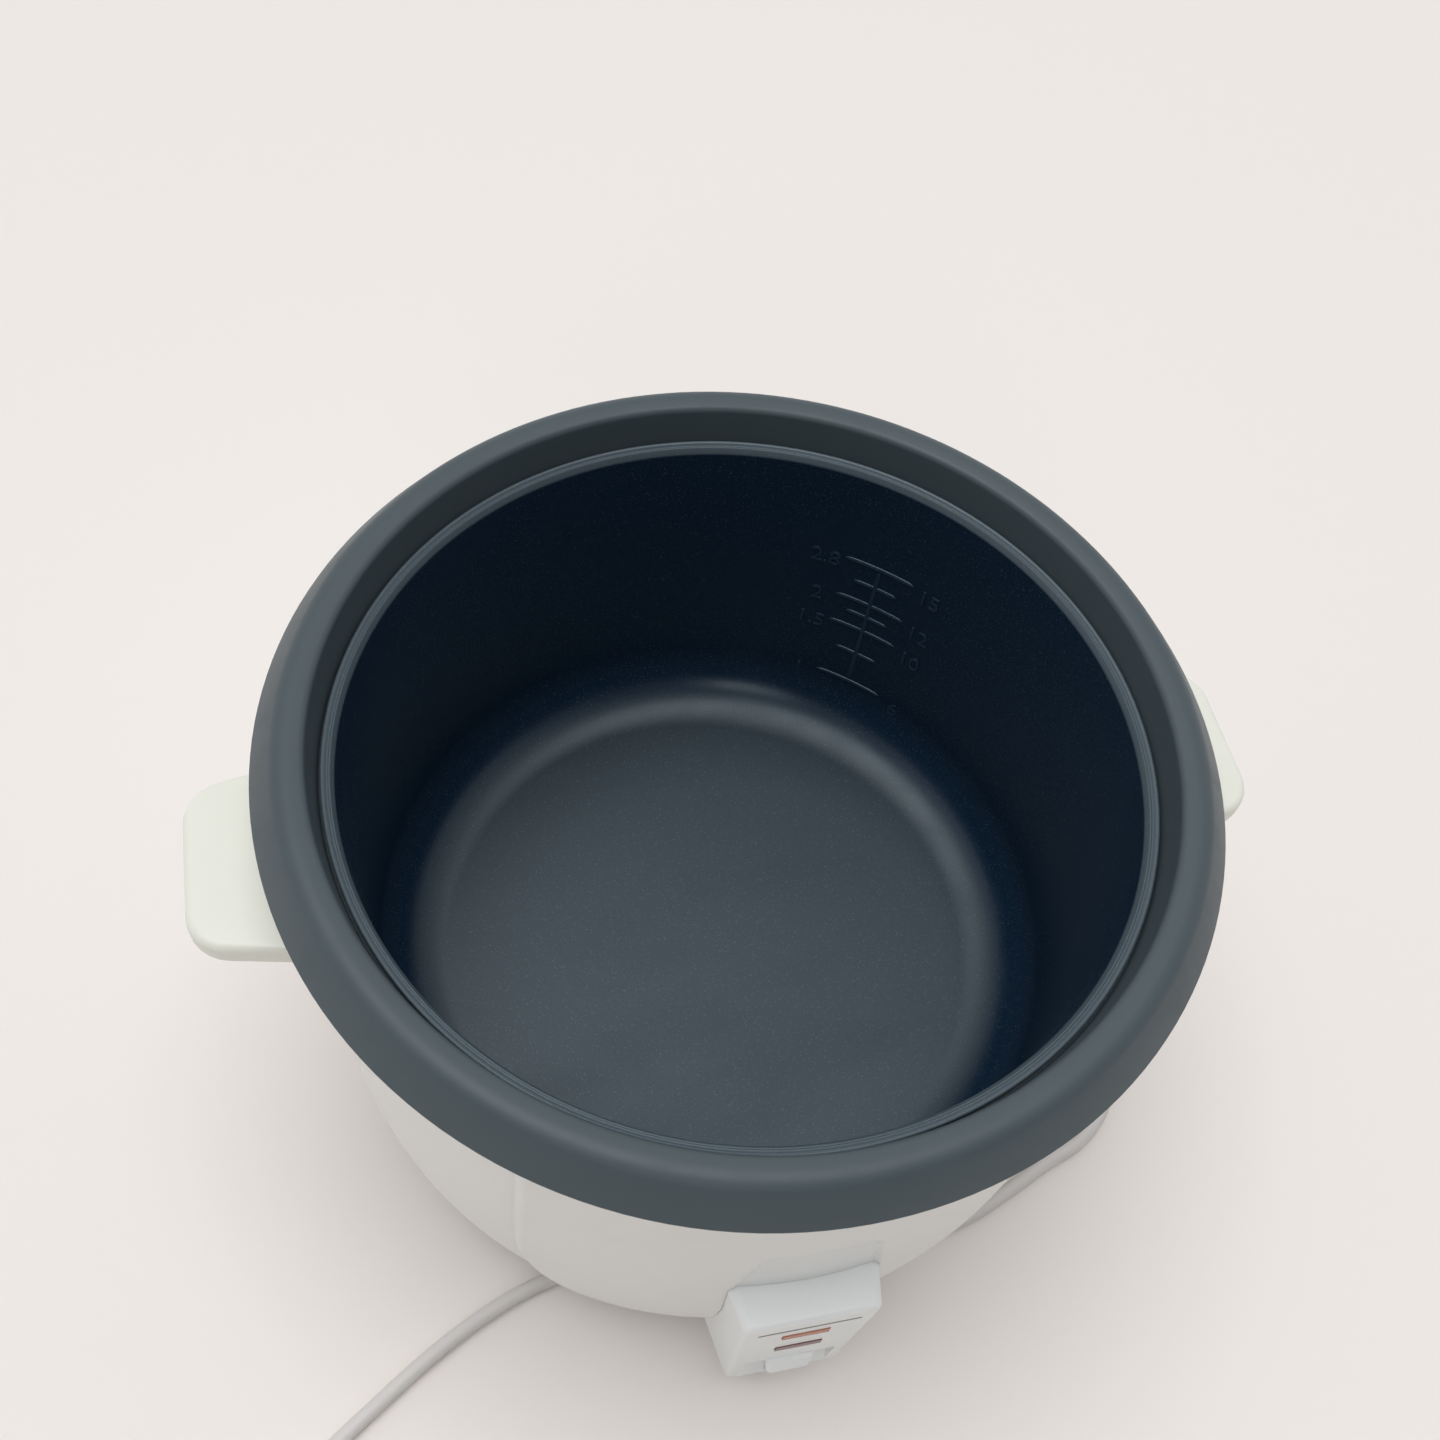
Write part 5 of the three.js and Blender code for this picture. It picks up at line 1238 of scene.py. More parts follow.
@dataclass
class LeverTab:
    """The white tab that is pressed to start cooking, and the stem that joins it to the lever."""

    top: float = 0.0472
    half_width: float = 0.009
    front_half_width: float = 0.0075
    proud: float = 0.003
    front_fall: float = 0.009
    heel_fall: float = 0.012
    back_fall: float = 0.003
    heel_gap: float = 0.0012
    depth: float = 0.0035
    corner: float = 0.0016
    edge: float = 0.0014
    stem_half_width: float = 0.005
    stem_bottom: float = 0.037
    stem_top: float = 0.0455
    stem_back: float = -0.1341
    socket_half_width: float = 0.0018
    socket_length: float = 0.0113
    socket_wall: float = 0.0003

    def narrowed(self, solid: Solid, face: float) -> Solid:
        """A shape that narrows in front of the face: x shrinks with the share of the tab's proud length."""
        points = solid.points.copy()
        share = np.clip((face - points[:, 1]) / self.proud, 0, 1)
        points[:, 0] *= 1 - share * (1 - self.front_half_width / self.half_width)
        return Solid(points, solid.faces)

    def build(self, box: SwitchBox) -> None:
        """Joins the tab and its stem, and cuts the socket for the lever."""
        top, face = self.top, box.face_at(self.top)
        back = face + self.depth
        outline = rounded([
            (back, top, self.corner),
            (face - self.proud + self.corner, top, self.corner),
            (face - self.proud, top - self.front_fall, self.corner),
            (box.face_at(top - self.heel_fall) - self.heel_gap, top - self.heel_fall, self.corner),
            (back, top - self.back_fall, self.corner),
        ])
        head = self.narrowed(slab(outline, -self.half_width, self.half_width, self.edge, Plane.SIDE), face)
        piece = add_piece("cook_tab", head, Finishes.BOX, Carrier.LEVER, ["lever_tab"])
        stem = box_solid(
            (-self.stem_half_width, face - self.proud / 2, self.stem_bottom),
            (self.stem_half_width, self.stem_back, self.stem_top),
        )
        half = self.socket_half_width
        socket = box_solid(
            (-half, self.stem_back - self.socket_length, self.stem_bottom + self.socket_wall),
            (half, self.stem_back + self.socket_length, self.stem_top - self.socket_wall),
        )
        carve(piece, [("UNION", stem), ("DIFFERENCE", socket)])


@dataclass
class Handle:
    """A side handle: a tapering plate with soft edges, hollow underneath."""

    top: float = 0.177
    thickness: float = 0.01
    tip: float = 0.1829
    root: float = 0.139
    root_half_width: float = 0.037
    tip_half_width: float = 0.0295
    corner: float = 0.015
    edge: float = 0.0028
    wall: float = 0.003
    hollow_root: float = 0.1555
    overrun: float = 0.008

    def outline(self, side: int, inset: float, root: float) -> np.ndarray:
        """The handle's outline: root to tip, with round corners at the tip."""
        tip, narrow = self.tip - inset, self.tip_half_width - inset
        span = (root - self.root) / (self.tip - self.root)
        wide = self.root_half_width + (self.tip_half_width - self.root_half_width) * span - inset
        corner = self.corner - inset
        return rounded([
            (side * root, -wide),
            (side * tip, -narrow, corner),
            (side * tip, narrow, corner),
            (side * root, wide),
        ])

    def build(self, name: str, node: str, side: int) -> None:
        """Makes one handle, fitted to the body's side.

        Args:
            name: the piece's name.
            node: the node that it stands for.
            side: 1 for the right and -1 for the left.
        """
        bottom = self.top - self.thickness
        form = slab(self.outline(side, 0, self.root), bottom, self.top, self.edge)
        piece = add_piece(name, form, Finishes.HANDLE, Carrier.COOKER, [node])
        inside = self.outline(side, self.wall, self.hollow_root)
        hollow = slab(inside, bottom - self.overrun, self.top - self.wall, self.edge)
        body = SIDE.filled(SEAT_GAP, bottom - self.overrun, self.top + self.overrun)
        carve(piece, [("DIFFERENCE", hollow), ("DIFFERENCE", body)])


@dataclass
class InnerPot:
    """The lift-out pot: a coated bowl with a rolled flange and raised level marks on its wall."""

    mouth_radius: float = 0.1321
    mouth_height: float = 0.2056
    side_radius: float = 0.127
    fillet: float = 0.025
    wall: float = 0.0016
    floor: float = 0.002
    flange_radius: float = 0.1368
    flange_height: float = 0.2081
    bead_round: float = 0.0007
    bead_width: float = 0.0016
    groove_depth: float = 0.0006
    groove_width: float = 0.0008
    mouth_round: float = 0.0012

    def profile(self, under: float) -> np.ndarray:
        """The pot's section from the middle of its underside, over the flange, to the middle of its floor."""
        centre = (self.side_radius - self.fillet, under + self.floor + self.fillet)
        outside = arc(centre, self.fillet + self.floor, -90, 0)
        inside = arc(centre, self.fillet, 0, -90)
        edge, top = self.flange_radius, self.flange_height
        inner_bead = edge - self.bead_width
        groove = inner_bead - self.groove_width
        flange = rounded([
            tuple(outside[-1]),
            (self.mouth_radius + self.wall, self.mouth_height - self.wall, self.mouth_round),
            (edge - self.bead_round, top - self.wall, self.bead_round),
            (edge, top - self.wall / 2, self.bead_round),
            (edge - self.bead_round, top, self.bead_round),
            (inner_bead, top - self.bead_round / 2, self.bead_round),
            (groove, top - self.groove_depth - self.bead_round, self.bead_round),
            (groove - self.groove_width, top - self.groove_depth, self.bead_round),
            (self.mouth_radius, self.mouth_height - self.wall / 2, self.mouth_round * 2),
            tuple(inside[0]),
        ], closed=False)
        axis_under, axis_floor = [[0, under]], [[0, under + self.floor]]
        return np.vstack([axis_under, outside[:-1], flange, inside[1:], axis_floor])

    def wall_radius(self, height: np.ndarray, under: float) -> np.ndarray:
        """The wall's inner radius, straight from the fillet to the mouth."""
        low = under + self.floor + self.fillet
        high = self.mouth_height - self.wall / 2
        share = (height - low) / (high - low)
        return self.side_radius + (self.mouth_radius - self.side_radius) * share

    def build(self) -> None:
        """Turns the pot and sets the level marks on its wall."""
        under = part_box("inner_pot")[0].z
        add_piece("coated_pot", lathe(self.profile(under)), Finishes.POT, Carrier.POT, ["inner_pot"])
        LevelScale(self, under).build()


@dataclass
class LevelScale:
    """Raised level marks inside a pot: a spine with long and short bars, and plain numbers."""

    pot: InnerPot
    under: float
    middle_degrees: float = 51.5
    long_bars: tuple[float, ...] = (0.1626, 0.141, 0.125, 0.092)
    short_bars: tuple[float, ...] = (0.1516, 0.1335, 0.1103)
    long_half: float = 0.0148
    short_half: float = 0.0092
    bar_width: float = 0.002
    rise: float = 0.0006
    sink: float = 0.0003
    end_power: int = 12
    end_least: float = 0.01
    number_size: float = 0.0102
    number_aside: float = 0.0225
    number_drop: float = 0.003
    number_curves: int = 4
    weld_digits: int = 7
    left_numbers: tuple[str, ...] = ("2.8", "2", "1.5", "1")
    right_numbers: tuple[str, ...] = ("15", "12", "10", "6")
    steps: int = 24

    def on_wall(self, along: np.ndarray, height: np.ndarray, rise: np.ndarray) -> np.ndarray:
        """Points on the wall: along runs to the right as seen from inside, and rise comes off the wall."""
        radius = self.pot.wall_radius(height, self.under)
        angle = math.radians(self.middle_degrees) - along / radius
        reach = radius - rise
        return np.stack([reach * np.cos(angle), reach * np.sin(angle), height], axis=-1)

    def bar(self, start: tuple[float, float], end: tuple[float, float]) -> Solid:
        """A low round bar on the wall between two points, each an along and a height.

        Its section is half an ellipse on a foot that is sunk into the wall: at an angle a it lies
        width / 2 cos a across and rise sin a off the wall. Width and rise shrink toward both ends
        by the root of 1 - |2 s - 1|^power at a share s of the length, and keep a least value.
        """
        first, last = np.array(start), np.array(end)
        share = np.linspace(0, 1, self.steps)[:, None]
        line = first + (last - first) * share
        across = np.array([-(last - first)[1], (last - first)[0]]) / np.linalg.norm(last - first)
        ends = np.sqrt(np.clip(1 - np.abs(2 * share - 1) ** self.end_power, self.end_least, 1))
        angle = np.linspace(0, math.pi, ARC_STEPS)
        wide = self.bar_width / 2 * np.cos(angle)[None, :] * ends
        off = self.rise * np.sin(angle)[None, :] * ends
        wide = np.hstack([wide, wide[:, -1:], wide[:, :1]])
        off = np.hstack([off, np.full((self.steps, 2), -self.sink)])
        flat = line[:, None] + across * wide[..., None]
        return loft(self.on_wall(flat[..., 0], flat[..., 1], off))

    def number(self, text: str, along: float, height: float) -> Solid:
        """A plain number laid on the wall, with its back sunk into it."""
        curve = bpy.data.curves.new("number", "FONT")
        curve.body, curve.size, curve.align_x, curve.align_y = text, self.number_size, "CENTER", "CENTER"
        curve.extrude = (self.rise + self.sink) / 2
        curve.resolution_u = self.number_curves
        written = linked("number", curve)
        bpy.context.view_layer.update()
        mesh = written.to_mesh()
        flat = np.zeros(len(mesh.vertices) * 3)
        mesh.vertices.foreach_get("co", flat)
        corners = np.round(flat.reshape(-1, 3), self.weld_digits)
        keys, same = np.unique(corners, axis=0, return_inverse=True)
        faces = [same.ravel()[np.array(p.vertices)][None, :] for p in mesh.polygons]
        bpy.data.objects.remove(written)
        rise = keys[:, 2] + (self.rise - self.sink) / 2
        return Solid(self.on_wall(keys[:, 0] + along, keys[:, 1] + height, rise), faces)

    def build(self) -> None:
        """Makes the bars one piece and the numbers another."""
        spine = self.bar((0, self.long_bars[-1]), (0, self.long_bars[0]))
        spans = [(self.long_half, z) for z in self.long_bars]
        spans += [(self.short_half, z) for z in self.short_bars]
        bars = [self.bar((-half, z), (half, z)) for half, z in spans]
        add_piece("level_bars", joined(spine, *bars), Finishes.MARKS, Carrier.POT)
        sides = ((-self.number_aside, self.left_numbers), (self.number_aside, self.right_numbers))
        numbers = [
            self.number(text, along, z - self.number_drop)
            for along, texts in sides
            for text, z in zip(texts, self.long_bars)
        ]
        add_piece("level_numbers", joined(*numbers), Finishes.MARKS, Carrier.POT)


@dataclass
class HotZone:
    """What shows when the pot is out: the steel well, the cast heating plate and the sensor cap."""

    well_mouth: float = 0.1364
    well_side: float = 0.1311
    well_fillet: float = 0.027
    well_wall: float = 0.0008
    well_flange: float = 0.0047
    well_hole: float = 0.034
    edge: float = 0.0004
    plate_radius: float = 0.088
    plate_hole: float = 0.021
    plate_edge: float = 0.0022
    plate_thickness: float = 0.008
    element_circle: float = 0.06
    element_radius: float = 0.006
    element_steps: int = 16
    leg_circle: float = 0.075
    leg_radius: float = 0.005
    leg_degrees: tuple[float, ...] = (60, 180, 300)
    cap_radius: float = 0.0185
    cap_wall: float = 0.0015
    cap_lip: float = 0.0045
    cap_lip_thickness: float = 0.0012
    cap_round: float = 0.0014
    cap_dish: float = 0.0003

    def well(self) -> Solid:
        """The well's section turned about the middle."""
        low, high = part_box("pot_well")
        floor = low.z
        centre = (self.well_side - self.well_fillet, floor + self.well_wall + self.well_fillet)
        outside = arc(centre, self.well_fillet + self.well_wall, -90, 0)
        inside = arc(centre, self.well_fillet, 0, -90)
        under, mouth = high.z - self.well_wall, self.well_mouth + self.well_flange
        flange = rounded([
            tuple(outside[-1]),
            (self.well_mouth + self.well_wall, under, self.edge),
            (mouth, under, self.edge),
            (mouth, high.z, self.edge),
            (self.well_mouth, high.z, self.well_wall),
            tuple(inside[0]),
        ], closed=False)
        first, last = [[self.well_hole, floor]], [[self.well_hole, floor + self.well_wall]]
        return lathe(np.vstack([first, outside[:-1], flange, inside[1:], last]))

    def plate(self) -> Solid:
        """The plate with its element's ring underneath, and its legs."""
        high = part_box("heating_plate")[1]
        under = high.z - self.plate_thickness
        ring = arc((self.element_circle, under), self.element_radius, 180, 360, self.element_steps)
        disc = np.vstack([
            [[self.plate_hole, under]],
            ring,
            rounded([
                (self.element_circle + self.element_radius, under),
                (self.plate_radius, under, self.plate_edge),
                (self.plate_radius, high.z, self.plate_edge),
                (self.plate_hole, high.z, self.plate_edge / 2),
                (self.plate_hole, under),
            ], closed=False)[1:-1],
        ])
        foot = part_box("pot_well")[0].z + self.well_wall + SEAT_GAP
        leg = cylinder(self.leg_radius, 0, under + self.edge - foot)
        stand = Matrix.Translation((self.leg_circle, 0, foot))
        legs = [leg.moved(Matrix.Rotation(math.radians(x), 4, "Z") @ stand) for x in self.leg_degrees]
        return joined(lathe(disc), *legs)

    def cap(self) -> Solid:
        """The sensor cap: a thimble with a lip, slightly dished on top."""
        low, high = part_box("sensor_cap")
        lip = low.z + self.cap_lip_thickness
        return lathe(rounded([
            (0, high.z - self.cap_wall),
            (self.cap_radius - self.cap_wall, high.z - self.cap_wall, self.cap_round / 2),
            (self.cap_radius - self.cap_wall, low.z),
            (self.cap_radius + self.cap_lip, low.z, self.edge),
            (self.cap_radius + self.cap_lip, lip, self.edge),
            (self.cap_radius, lip, self.edge),
            (self.cap_radius, high.z, self.cap_round),
            (self.cap_radius / 2, high.z - self.cap_dish, self.cap_round),
            (0, high.z - self.cap_dish),
        ], closed=False), SMALL_SIDES * 2)

    def build(self) -> None:
        """Makes the three turned pieces."""
        add_piece("steel_well", self.well(), Finishes.ZINC, Carrier.COOKER, ["pot_well"])
        add_piece("cast_hot_plate", self.plate(), Finishes.ALUMINIUM, Carrier.COOKER, ["heating_plate"])
        add_piece("sensor_thimble", self.cap(), Finishes.ALUMINIUM, Carrier.SENSOR, ["sensor_cap"])


@dataclass
class Feet:
    """Rubber feet, each with a shallow hollow in its underside and a peg through the base."""

    count: int = 4
    radius: float = 0.009
    top_radius: float = 0.01
    peg_radius: float = 0.003
    hollow_depth: float = 0.0012
    hollow_radius: float = 0.0062
    edge: float = 0.001
    base_gap: float = 0.0003

    def build(self) -> None:
        """Turns each foot and sets it at its place."""
        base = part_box("base_plate")[0].z - self.base_gap
        for i in range(self.count):
            name = f"foot_{i + 1}"
            low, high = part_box(name)
            place = ((low.x + high.x) / 2, (low.y + high.y) / 2, 0)
            profile = rounded([
                (0, self.hollow_depth),
                (self.hollow_radius, self.hollow_depth, self.edge / 2),
                (self.hollow_radius + self.hollow_depth, 0, self.edge / 2),
                (self.radius, 0, self.edge),
                (self.top_radius, base, self.edge),
                (self.peg_radius, base, self.edge / 2),
                (self.peg_radius, high.z, self.edge),
                (0, high.z),
            ], closed=False)
            foot = lathe(profile, SMALL_SIDES).moved(Matrix.Translation(place))
            add_piece(f"rubber_{name}", foot, Finishes.RUBBER, Carrier.COOKER, [name])


@dataclass
class CordGuard:
    """The ribbed sleeve that keeps the cord from bending sharply where it leaves the body."""

    neck_radius: float = 0.0057
    flange_radius: float = 0.009
    flange_thickness: float = 0.0024
    root_radius: float = 0.007
    tip_radius: float = 0.0043
    length: float = 0.026
    inside: float = 0.0187
    gap: float = 0.0003
    ribs: int = 7
    rib_depth: float = 0.0007
    rib_sharpness: float = 1.6
    first_rib: float = 0.05
    last_rib: float = 0.97
    edge: float = 0.0007
    steps: int = 120

    @property
    def reach(self) -> float:
        """From the boss's face to the sleeve's tip."""
        return self.gap + self.flange_thickness + self.length

    def build(self) -> None:
        """Turns the sleeve: its radius tapers, and dips at each groove by a rounded square wave."""
        share = np.linspace(0, 1, self.steps)
        taper = self.root_radius + (self.tip_radius - self.root_radius) * share
        wave = np.cos(TURN * self.ribs * share)
        ribbed = (share > self.first_rib) & (share < self.last_rib)
        dip = self.rib_depth * np.clip(0.5 + self.rib_sharpness * wave, 0, 1) * ribbed
        start = self.gap + self.flange_thickness
        sleeve = np.stack([taper - dip, start + self.length * share], axis=-1)
        back = -self.inside + self.flange_thickness
        head = rounded([
            (0, -self.inside),
            (self.flange_radius, -self.inside, self.edge),
            (self.flange_radius, back, self.edge),
            (self.neck_radius, back, self.edge),
            (self.neck_radius, self.gap, self.edge / 2),
            (self.flange_radius, self.gap, self.edge),
            (self.flange_radius, start, self.edge),
            (self.root_radius, start, self.edge / 2),
            tuple(sleeve[1]),
        ], closed=False)
        profile = np.vstack([head[:-1], sleeve[1:], [[0, start + self.length]]])
        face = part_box("cord_gland")[1].y - self.reach
        solid = lathe(profile, SMALL_SIDES).moved(pointing((0, face, CORD_EXIT), (0, 1, 0)))
        add_piece("cord_guard", solid, Finishes.CORD, Carrier.COOKER, ["cord_gland"])


@dataclass
class MainsLead:
    """The mains lead: out of the back, round the right side, under the front to the left, and coiled."""

    diameter: float = 0.006
    declared_length: float = 1.308
    rest_height: float = 0.0031
    clearance: float = 0.0003
    coil_centre: tuple[float, float] = (-0.166, -0.198)
    coil_radius: float = 0.032
    coil_turns: float = 2.4
    coil_pitch: float = 0.0068
    coil_start: float = 125.0
    coil_climb: float = 0.5
    loop_steps: int = 40
    span_steps: int = 10
    drop: tuple[tuple[float, float, float], ...] = (
        (0, 0.175, 0.0279),
        (0.0015, 0.186, 0.0252),
        (0.0055, 0.1965, 0.0196),
        (0.0125, 0.2055, 0.0129),
        (0.023, 0.2115, 0.0071),
        (0.036, 0.213, 0.0039),
    )
    run: tuple[tuple[float, float], ...] = (
        (0.052, 0.209), (0.078, 0.1925), (0.108, 0.164), (0.143, 0.132), (0.169, 0.093),
        (0.183, 0.048), (0.187, 0.005), (0.181, -0.036), (0.167, -0.068), (0.157, -0.08),
        (0.146, -0.0873), (0.133, -0.092), (0.112, -0.101), (0.088, -0.1095), (0.055, -0.113),
        (0.015, -0.109), (-0.025, -0.103), (-0.056, -0.101), (-0.08, -0.1036), (-0.103, -0.1115),
        (-0.125, -0.1228), (-0.148, -0.1375), (-0.168, -0.1515),
    )

    def coil_reach(self, middle: np.ndarray) -> np.ndarray:
        """The coil's radius at a number of turns from its middle one: a pitch more for each turn away."""
        return self.coil_radius - self.coil_pitch * self.coil_turns / 4 + self.coil_pitch * np.abs(middle)

    def coil(self) -> np.ndarray:
        """The coil's path, which spirals in on the table, climbs a layer and spirals out on top.

        The height rises by a pitch with a smooth step about the middle turn.
        """
        steps = round(self.coil_turns * self.loop_steps)
        turns = np.linspace(0, self.coil_turns, steps + 1)
        middle = turns - self.coil_turns / 2
        radius = self.coil_reach(middle)
        angle = math.radians(self.coil_start) + TURN * turns
        x = self.coil_centre[0] + radius * np.cos(angle)
        y = self.coil_centre[1] + radius * np.sin(angle)
        z = self.rest_height + self.coil_pitch * smooth_step(middle / self.coil_climb + 0.5)
        path = np.stack([x, y, z], axis=-1)
        first, last = path[0] - path[1], path[-1] - path[-2]
        before = path[0] + self.diameter * first / np.linalg.norm(first)
        after = path[-1] + self.diameter * last / np.linalg.norm(last)
        return np.vstack([before, path, after])

    def path(self) -> np.ndarray:
        """The lead's middle line: out of the sleeve, down its drop, along its run on the table, coiled."""
        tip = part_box("cord_gland")[1].y
        start = [(0, tip - self.diameter, CORD_EXIT), (0, tip + self.clearance, CORD_EXIT)]
        laid = [(x, y, self.rest_height) for x, y in self.run]
        coil = self.coil()
        free = smooth_curve(np.array([*start, *self.drop, *laid, coil[0]]), self.span_steps)
        return np.vstack([free[:-1], coil])

    def build(self) -> None:
        """Makes the lead, its tie and its plug, and says how long it is."""
        path = self.path()
        skin = tube(path, self.diameter / 2, CORD_SIDES)
        lead = add_piece("mains_lead", skin, Finishes.CORD, Carrier.COOKER, ["mains_cord", "cord_coil"])
        tie = CoilTie().build(self)
        plug = MainsPlug().build(path)
        length = float(np.sum(np.linalg.norm(np.diff(path, axis=0), axis=1)))
        log.info("mains lead: %.3f m along its middle", length)


@dataclass
class CoilTie:
    """A flat strap round the coil's turns, with its end lapped over itself."""

    degrees: float = 305.0
    width: float = 0.009
    thickness: float = 0.0008
    slack: float = 0.0002
    table_gap: float = 0.0004
    around: int = 48
    lap: float = 0.0006
    lap_middle: float = 0.25
    lap_turns: float = 0.125

    def build(self, lead: MainsLead) -> bpy.types.Object:
        """Wraps the strap round the two turns that cross its place.

        The strap's line is the hull of two circles: each direction a takes the turn that reaches
        furthest along it, plus the cord's radius and some slack.

        Args:
            lead: the lead that it ties.

        Returns:
            The strap.
        """
        turns = (self.degrees - lead.coil_start) / 360 + np.array([0, 1])
        middle = turns - lead.coil_turns / 2
        height = lead.rest_height + lead.coil_pitch * (middle > 0)
        strands = np.stack([lead.coil_reach(middle), height], axis=-1)
        angle = np.arange(self.around) * TURN / self.around
        way = np.stack([np.cos(angle), np.sin(angle)], axis=-1)
        furthest = strands[np.argmax(way @ strands.T, axis=1)]
        lapped = self.lap * np.clip(1 - np.abs(angle / TURN - self.lap_middle) / self.lap_turns, 0, 1)
        line = furthest + way * (lead.diameter / 2 + self.slack + lapped)[:, None]
        outer = line + way * self.thickness
        rings = []
        for edge, shift in ((line, 0), (outer, 0), (outer, 1), (line, 1)):
            level = np.maximum(edge[:, 1], self.table_gap)
            rings.append(self.placed(lead, edge[:, 0], level, shift - 0.5))
        sections = np.stack(rings, axis=1)
        faces = [grid_faces(self.around, len(rings), True)]
        strap = Solid(sections.reshape(-1, 3), faces).outward()
        piece = add_piece("coil_tie", strap, Finishes.BLACK, Carrier.COOKER)
        soften(piece, self.thickness / 4)
        return piece

    def placed(self, lead: MainsLead, radius: np.ndarray, height: np.ndarray, side: float) -> np.ndarray:
        """Points at a radius and height of the coil, to one side of the strap's middle."""
        angle = math.radians(self.degrees)
        out = np.array([math.cos(angle), math.sin(angle)])
        along = np.array([-out[1], out[0]])
        flat = np.array(lead.coil_centre) + radius[:, None] * out + along * side * self.width
        return np.column_stack([flat, height])


@dataclass
class MainsPlug:
    """The plug: a ribbed neck that swells into a flat-sided body with grip grooves."""

    neck_tip: float = 0.0042
    neck_root: float = 0.007
    neck_length: float = 0.02
    body_length: float = 0.03
    half_width: float = 0.012
    half_height: float = 0.0097
    swell: float = 0.007
    swell_on_neck: float = 1 / 3
    body_power: float = 5.0
    nose: float = 0.002
    neck_ribs: int = 5
    first_rib: float = 0.12
    last_rib: float = 0.85
    rib_depth: float = 0.0006
    ridge_sharpness: float = 2.0
    grooves: int = 4
    groove_depth: float = 0.0005
    around: int = 48
    steps: int = 150
    clearance: float = 0.0003

    def build(self, lead: np.ndarray) -> bpy.types.Object:
        """Lofts rounded squares along the plug's axis.

        At a distance u the section is a superellipse |x/a|^n + |y/b|^n = 1 whose half axes swell
        from the neck's to the body's, and whose power goes from a circle's 2 to the body's.

        Args:
            lead: the lead's path, whose end the plug is on.

        Returns:
            The plug's body.
        """
        total = self.neck_length + self.body_length
        u = np.linspace(0, total, self.steps)
        neck = self.neck_tip + (self.neck_root - self.neck_tip) * np.clip(u / self.neck_length, 0, 1)
        ribbed = (u > self.neck_length * self.first_rib) & (u < self.neck_length * self.last_rib)
        rib_wave = np.sin(TURN * self.neck_ribs * u / self.neck_length)
        neck = neck - self.rib_depth * ribbed * np.clip(rib_wave * self.ridge_sharpness, 0, 1)
        share = smooth_step((u - self.neck_length) / self.swell + self.swell_on_neck)
        nose = np.clip((u - total + self.nose) / self.nose, 0, 1)
        draw = self.nose * (1 - np.sqrt(1 - nose**2))
        grip_start = self.neck_length + self.swell
        grip = (u > grip_start) & (u < grip_start + self.body_length / 2)
        grip_wave = np.sin(TURN * self.grooves * (u - grip_start) / (self.body_length / 2))
        wave = np.clip(grip_wave * self.ridge_sharpness, 0, 1)
        wide = neck + (self.half_width - neck) * share - draw - self.groove_depth * grip * wave
        tall = neck + (self.half_height - neck) * share - draw
        power = 2 / (2 + (self.body_power - 2) * share)
        angle = np.arange(self.around) * TURN / self.around
        cos, sin = np.cos(angle)[None, :], np.sin(angle)[None, :]
        across = wide[:, None] * np.sign(cos) * np.abs(cos) ** power[:, None]
        lift = tall[:, None] * np.sign(sin) * np.abs(sin) ** power[:, None]
        heading = lead[-1] - lead[-2]
        heading[2] = 0
        heading /= np.linalg.norm(heading)
        side = np.array([-heading[1], heading[0], 0])
        start = lead[-1] + heading * self.clearance
        up = np.array([0, 0, 1])
        points = start + u[:, None, None] * heading + across[..., None] * side + lift[..., None] * up
        return add_piece("plug_moulding", loft(points), Finishes.CORD, Carrier.COOKER, ["plug_body"])


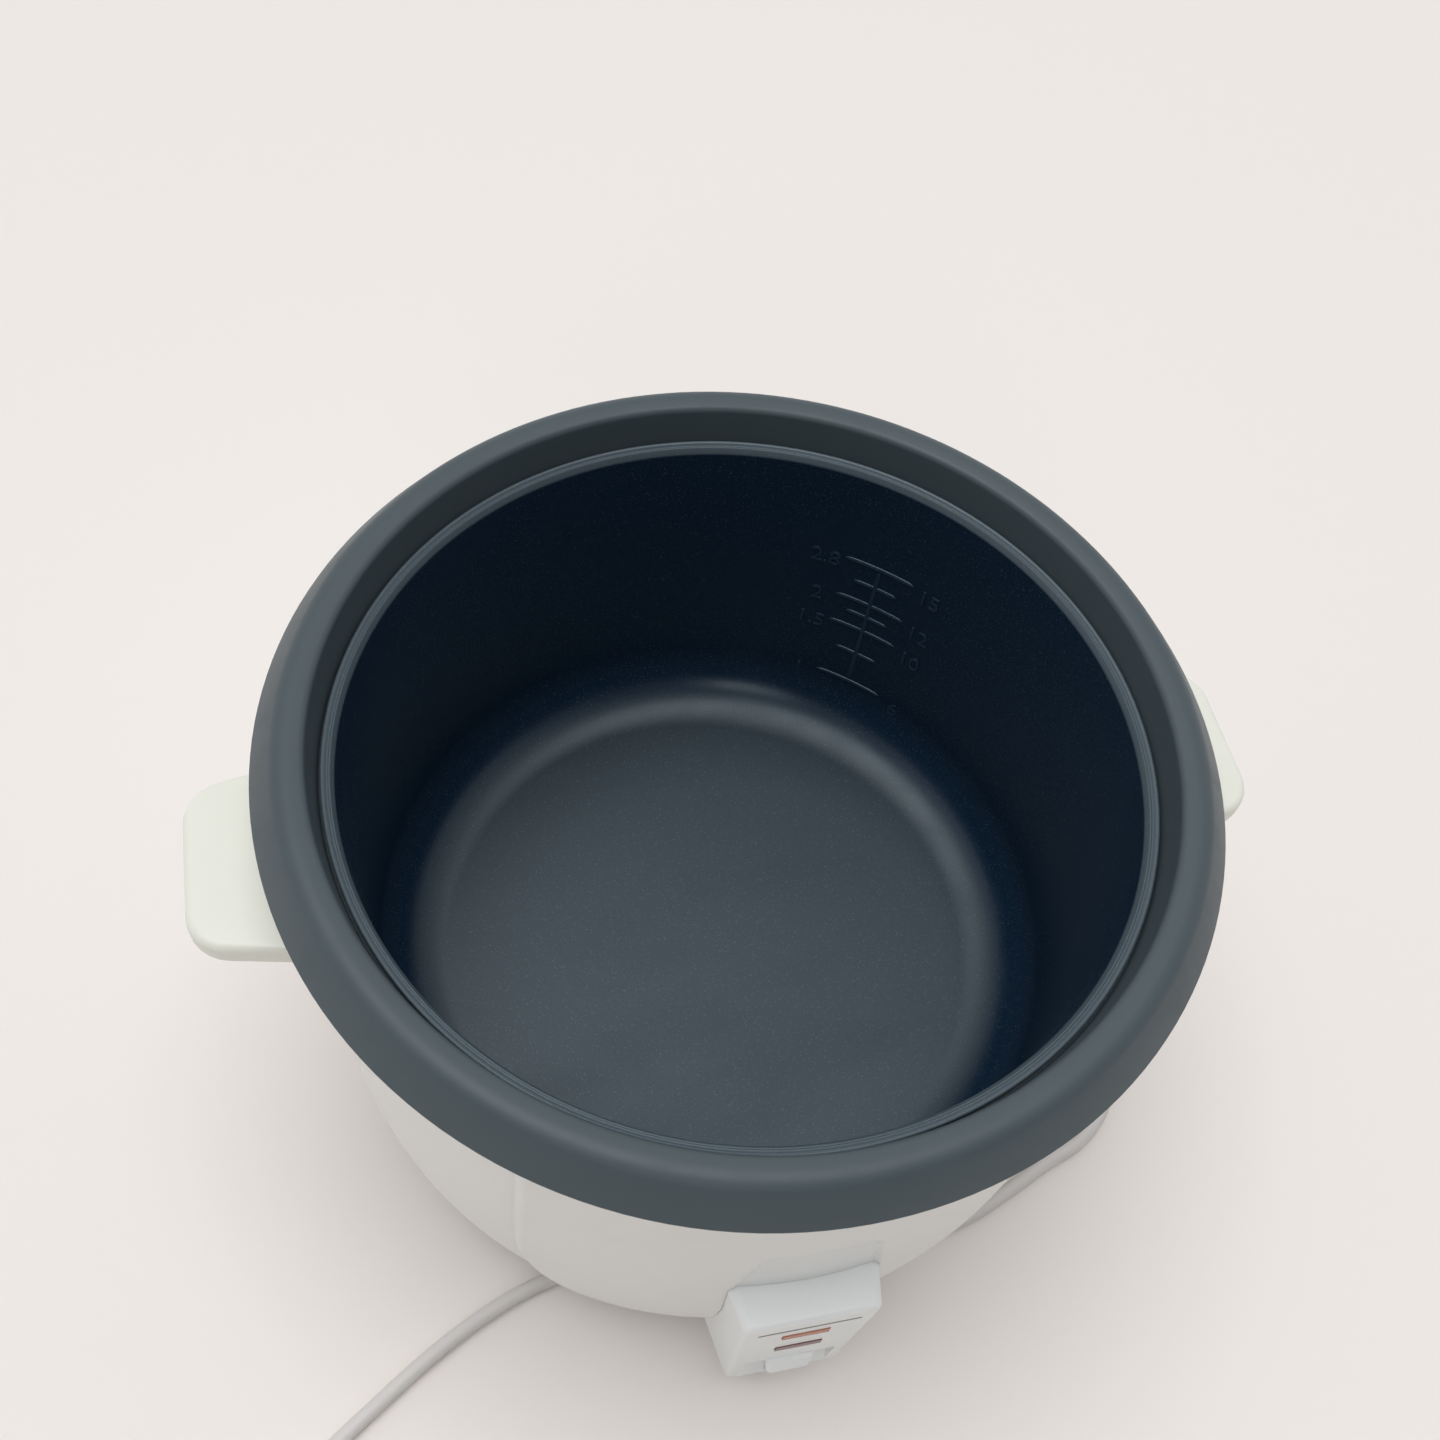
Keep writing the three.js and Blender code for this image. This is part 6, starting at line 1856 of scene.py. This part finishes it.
@dataclass
class Studio:
    """The floor, the light and the camera."""

    floor_size: float = 12.0
    floor_drop: float = 0.0002
    floor_colour: str = "#ece6e1"
    floor_roughness: float = 0.7
    camera_place: tuple[float, float, float] = (-0.10955, -0.27059, 0.64468)
    camera_degrees: tuple[float, float, float] = (34.1173, -5.6365, -11.7168)
    lens: float = 40.24
    sensor: float = 36.0
    clip: tuple[float, float] = (0.01, 100.0)
    sky_colour: str = "#f8fafd"
    sky_strength: float = 0.68
    front_dimming: float = 0.2
    sky_front: float = -1.0
    sky_back: float = 0.2
    overhead_strength: float = 1.52
    overhead_degrees: float = 48.0
    overhead_place: tuple[float, float, float] = (-0.35, 0.1, 3.2)
    fill_size: float = 0.7
    fill_power: float = 4.0
    fill_place: tuple[float, float, float] = (-0.7, -2.2, 1.85)

    def camera(self) -> None:
        """Sets the camera where the picture was taken from."""
        made = bpy.data.cameras.new("camera")
        made.lens, made.sensor_width = self.lens, self.sensor
        made.clip_start, made.clip_end = self.clip
        camera = linked("camera", made)
        camera.location = self.camera_place
        camera.rotation_euler = Euler([math.radians(x) for x in self.camera_degrees])
        bpy.context.scene.camera = camera

    def floor(self) -> None:
        """A plain pale floor under the feet."""
        half = self.floor_size / 2
        mesh = bpy.data.meshes.new("floor")
        corners = [(-half, -half), (half, -half), (half, half), (-half, half)]
        mesh.from_pydata([(x, y, -self.floor_drop) for x, y in corners], [], [(0, 1, 2, 3)])
        floor = linked("floor", mesh)
        material = bpy.data.materials.new("floor_paint")
        material.use_nodes = True
        shader = material.node_tree.nodes["Principled BSDF"]
        shader.inputs["Base Color"].default_value = linear(self.floor_colour)
        shader.inputs["Roughness"].default_value = self.floor_roughness
        mesh.materials.append(material)

    def face_cooker(self, name: str, data: bpy.types.Light, place: Sequence[float]) -> None:
        """Sets a lamp at its place, turned to the cooker."""
        lamp = linked(name, data)
        lamp.location = place
        lamp.rotation_euler = (-Vector(place)).to_track_quat("-Z", "Y").to_euler()

    def light(self) -> None:
        """A broad even light overhead, a small lamp in front, and a sky that is dimmer toward the front.

        The camera sees the sky as the floor's colour.
        """
        overhead = bpy.data.lights.new("overhead", "SUN")
        overhead.energy, overhead.angle = self.overhead_strength, math.radians(self.overhead_degrees)
        self.face_cooker("overhead", overhead, self.overhead_place)
        fill = bpy.data.lights.new("front_fill", "AREA")
        fill.energy, fill.size, fill.shape = self.fill_power, self.fill_size, "SQUARE"
        self.face_cooker("front_fill", fill, self.fill_place)
        world = bpy.data.worlds.new("sky")
        bpy.context.scene.world = world
        world.use_nodes = True
        graph = Graph(world.node_tree)
        world.node_tree.nodes.clear()
        way = graph.add("TexCoord").outputs["Generated"]
        dim = self.sky_strength * self.front_dimming
        strength = graph.spread(graph.parts(way)["Y"], self.sky_front, self.sky_back, dim, self.sky_strength)
        seen = graph.add("Background", {"Color": linear(self.floor_colour), "Strength": 1.0})
        lit = graph.add("Background", {"Color": linear(self.sky_colour), "Strength": strength})
        ray = graph.add("LightPath").outputs["Is Camera Ray"]
        mixed = graph.add("MixShader", {0: ray, 1: lit.outputs[0], 2: seen.outputs[0]})
        graph.add("OutputWorld", {"Surface": mixed.outputs[0]})

    def build(self) -> None:
        """Camera, floor and light."""
        bpy.context.scene.view_settings.view_transform = "Standard"
        self.camera()
        self.floor()
        self.light()


def dress_carried_nodes() -> None:
    """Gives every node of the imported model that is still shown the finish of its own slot."""
    finishes = Finishes.by_slot()
    shown = {name: node for name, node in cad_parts.items() if not node.hide_render}
    slots = {name: node.data.materials[0].name.split(".")[0] for name, node in shown.items()}
    for name, node in shown.items():
        cover(node, finishes[slots[name]])
        log.info("%s keeps its shape, %s", name, slots[name])


def main() -> None:
    """Builds the scene: the camera and the lead first, then the cooker from its rim to its feet."""
    logging.basicConfig(level=logging.INFO, format="%(message)s")
    Studio().build()
    MainsLead().build()
    CordGuard().build()
    box = SwitchBox()
    RimRing().build()
    BodyShell().build()
    FrontPanel().build(box)
    box.build()
    LeverTab().build(box)
    Handle().build("left_grip", "left_handle", -1)
    Handle().build("right_grip", "right_handle", 1)
    InnerPot().build()
    HotZone().build()
    Feet().build()
    dress_carried_nodes()


if __name__ == "__main__":
    main()
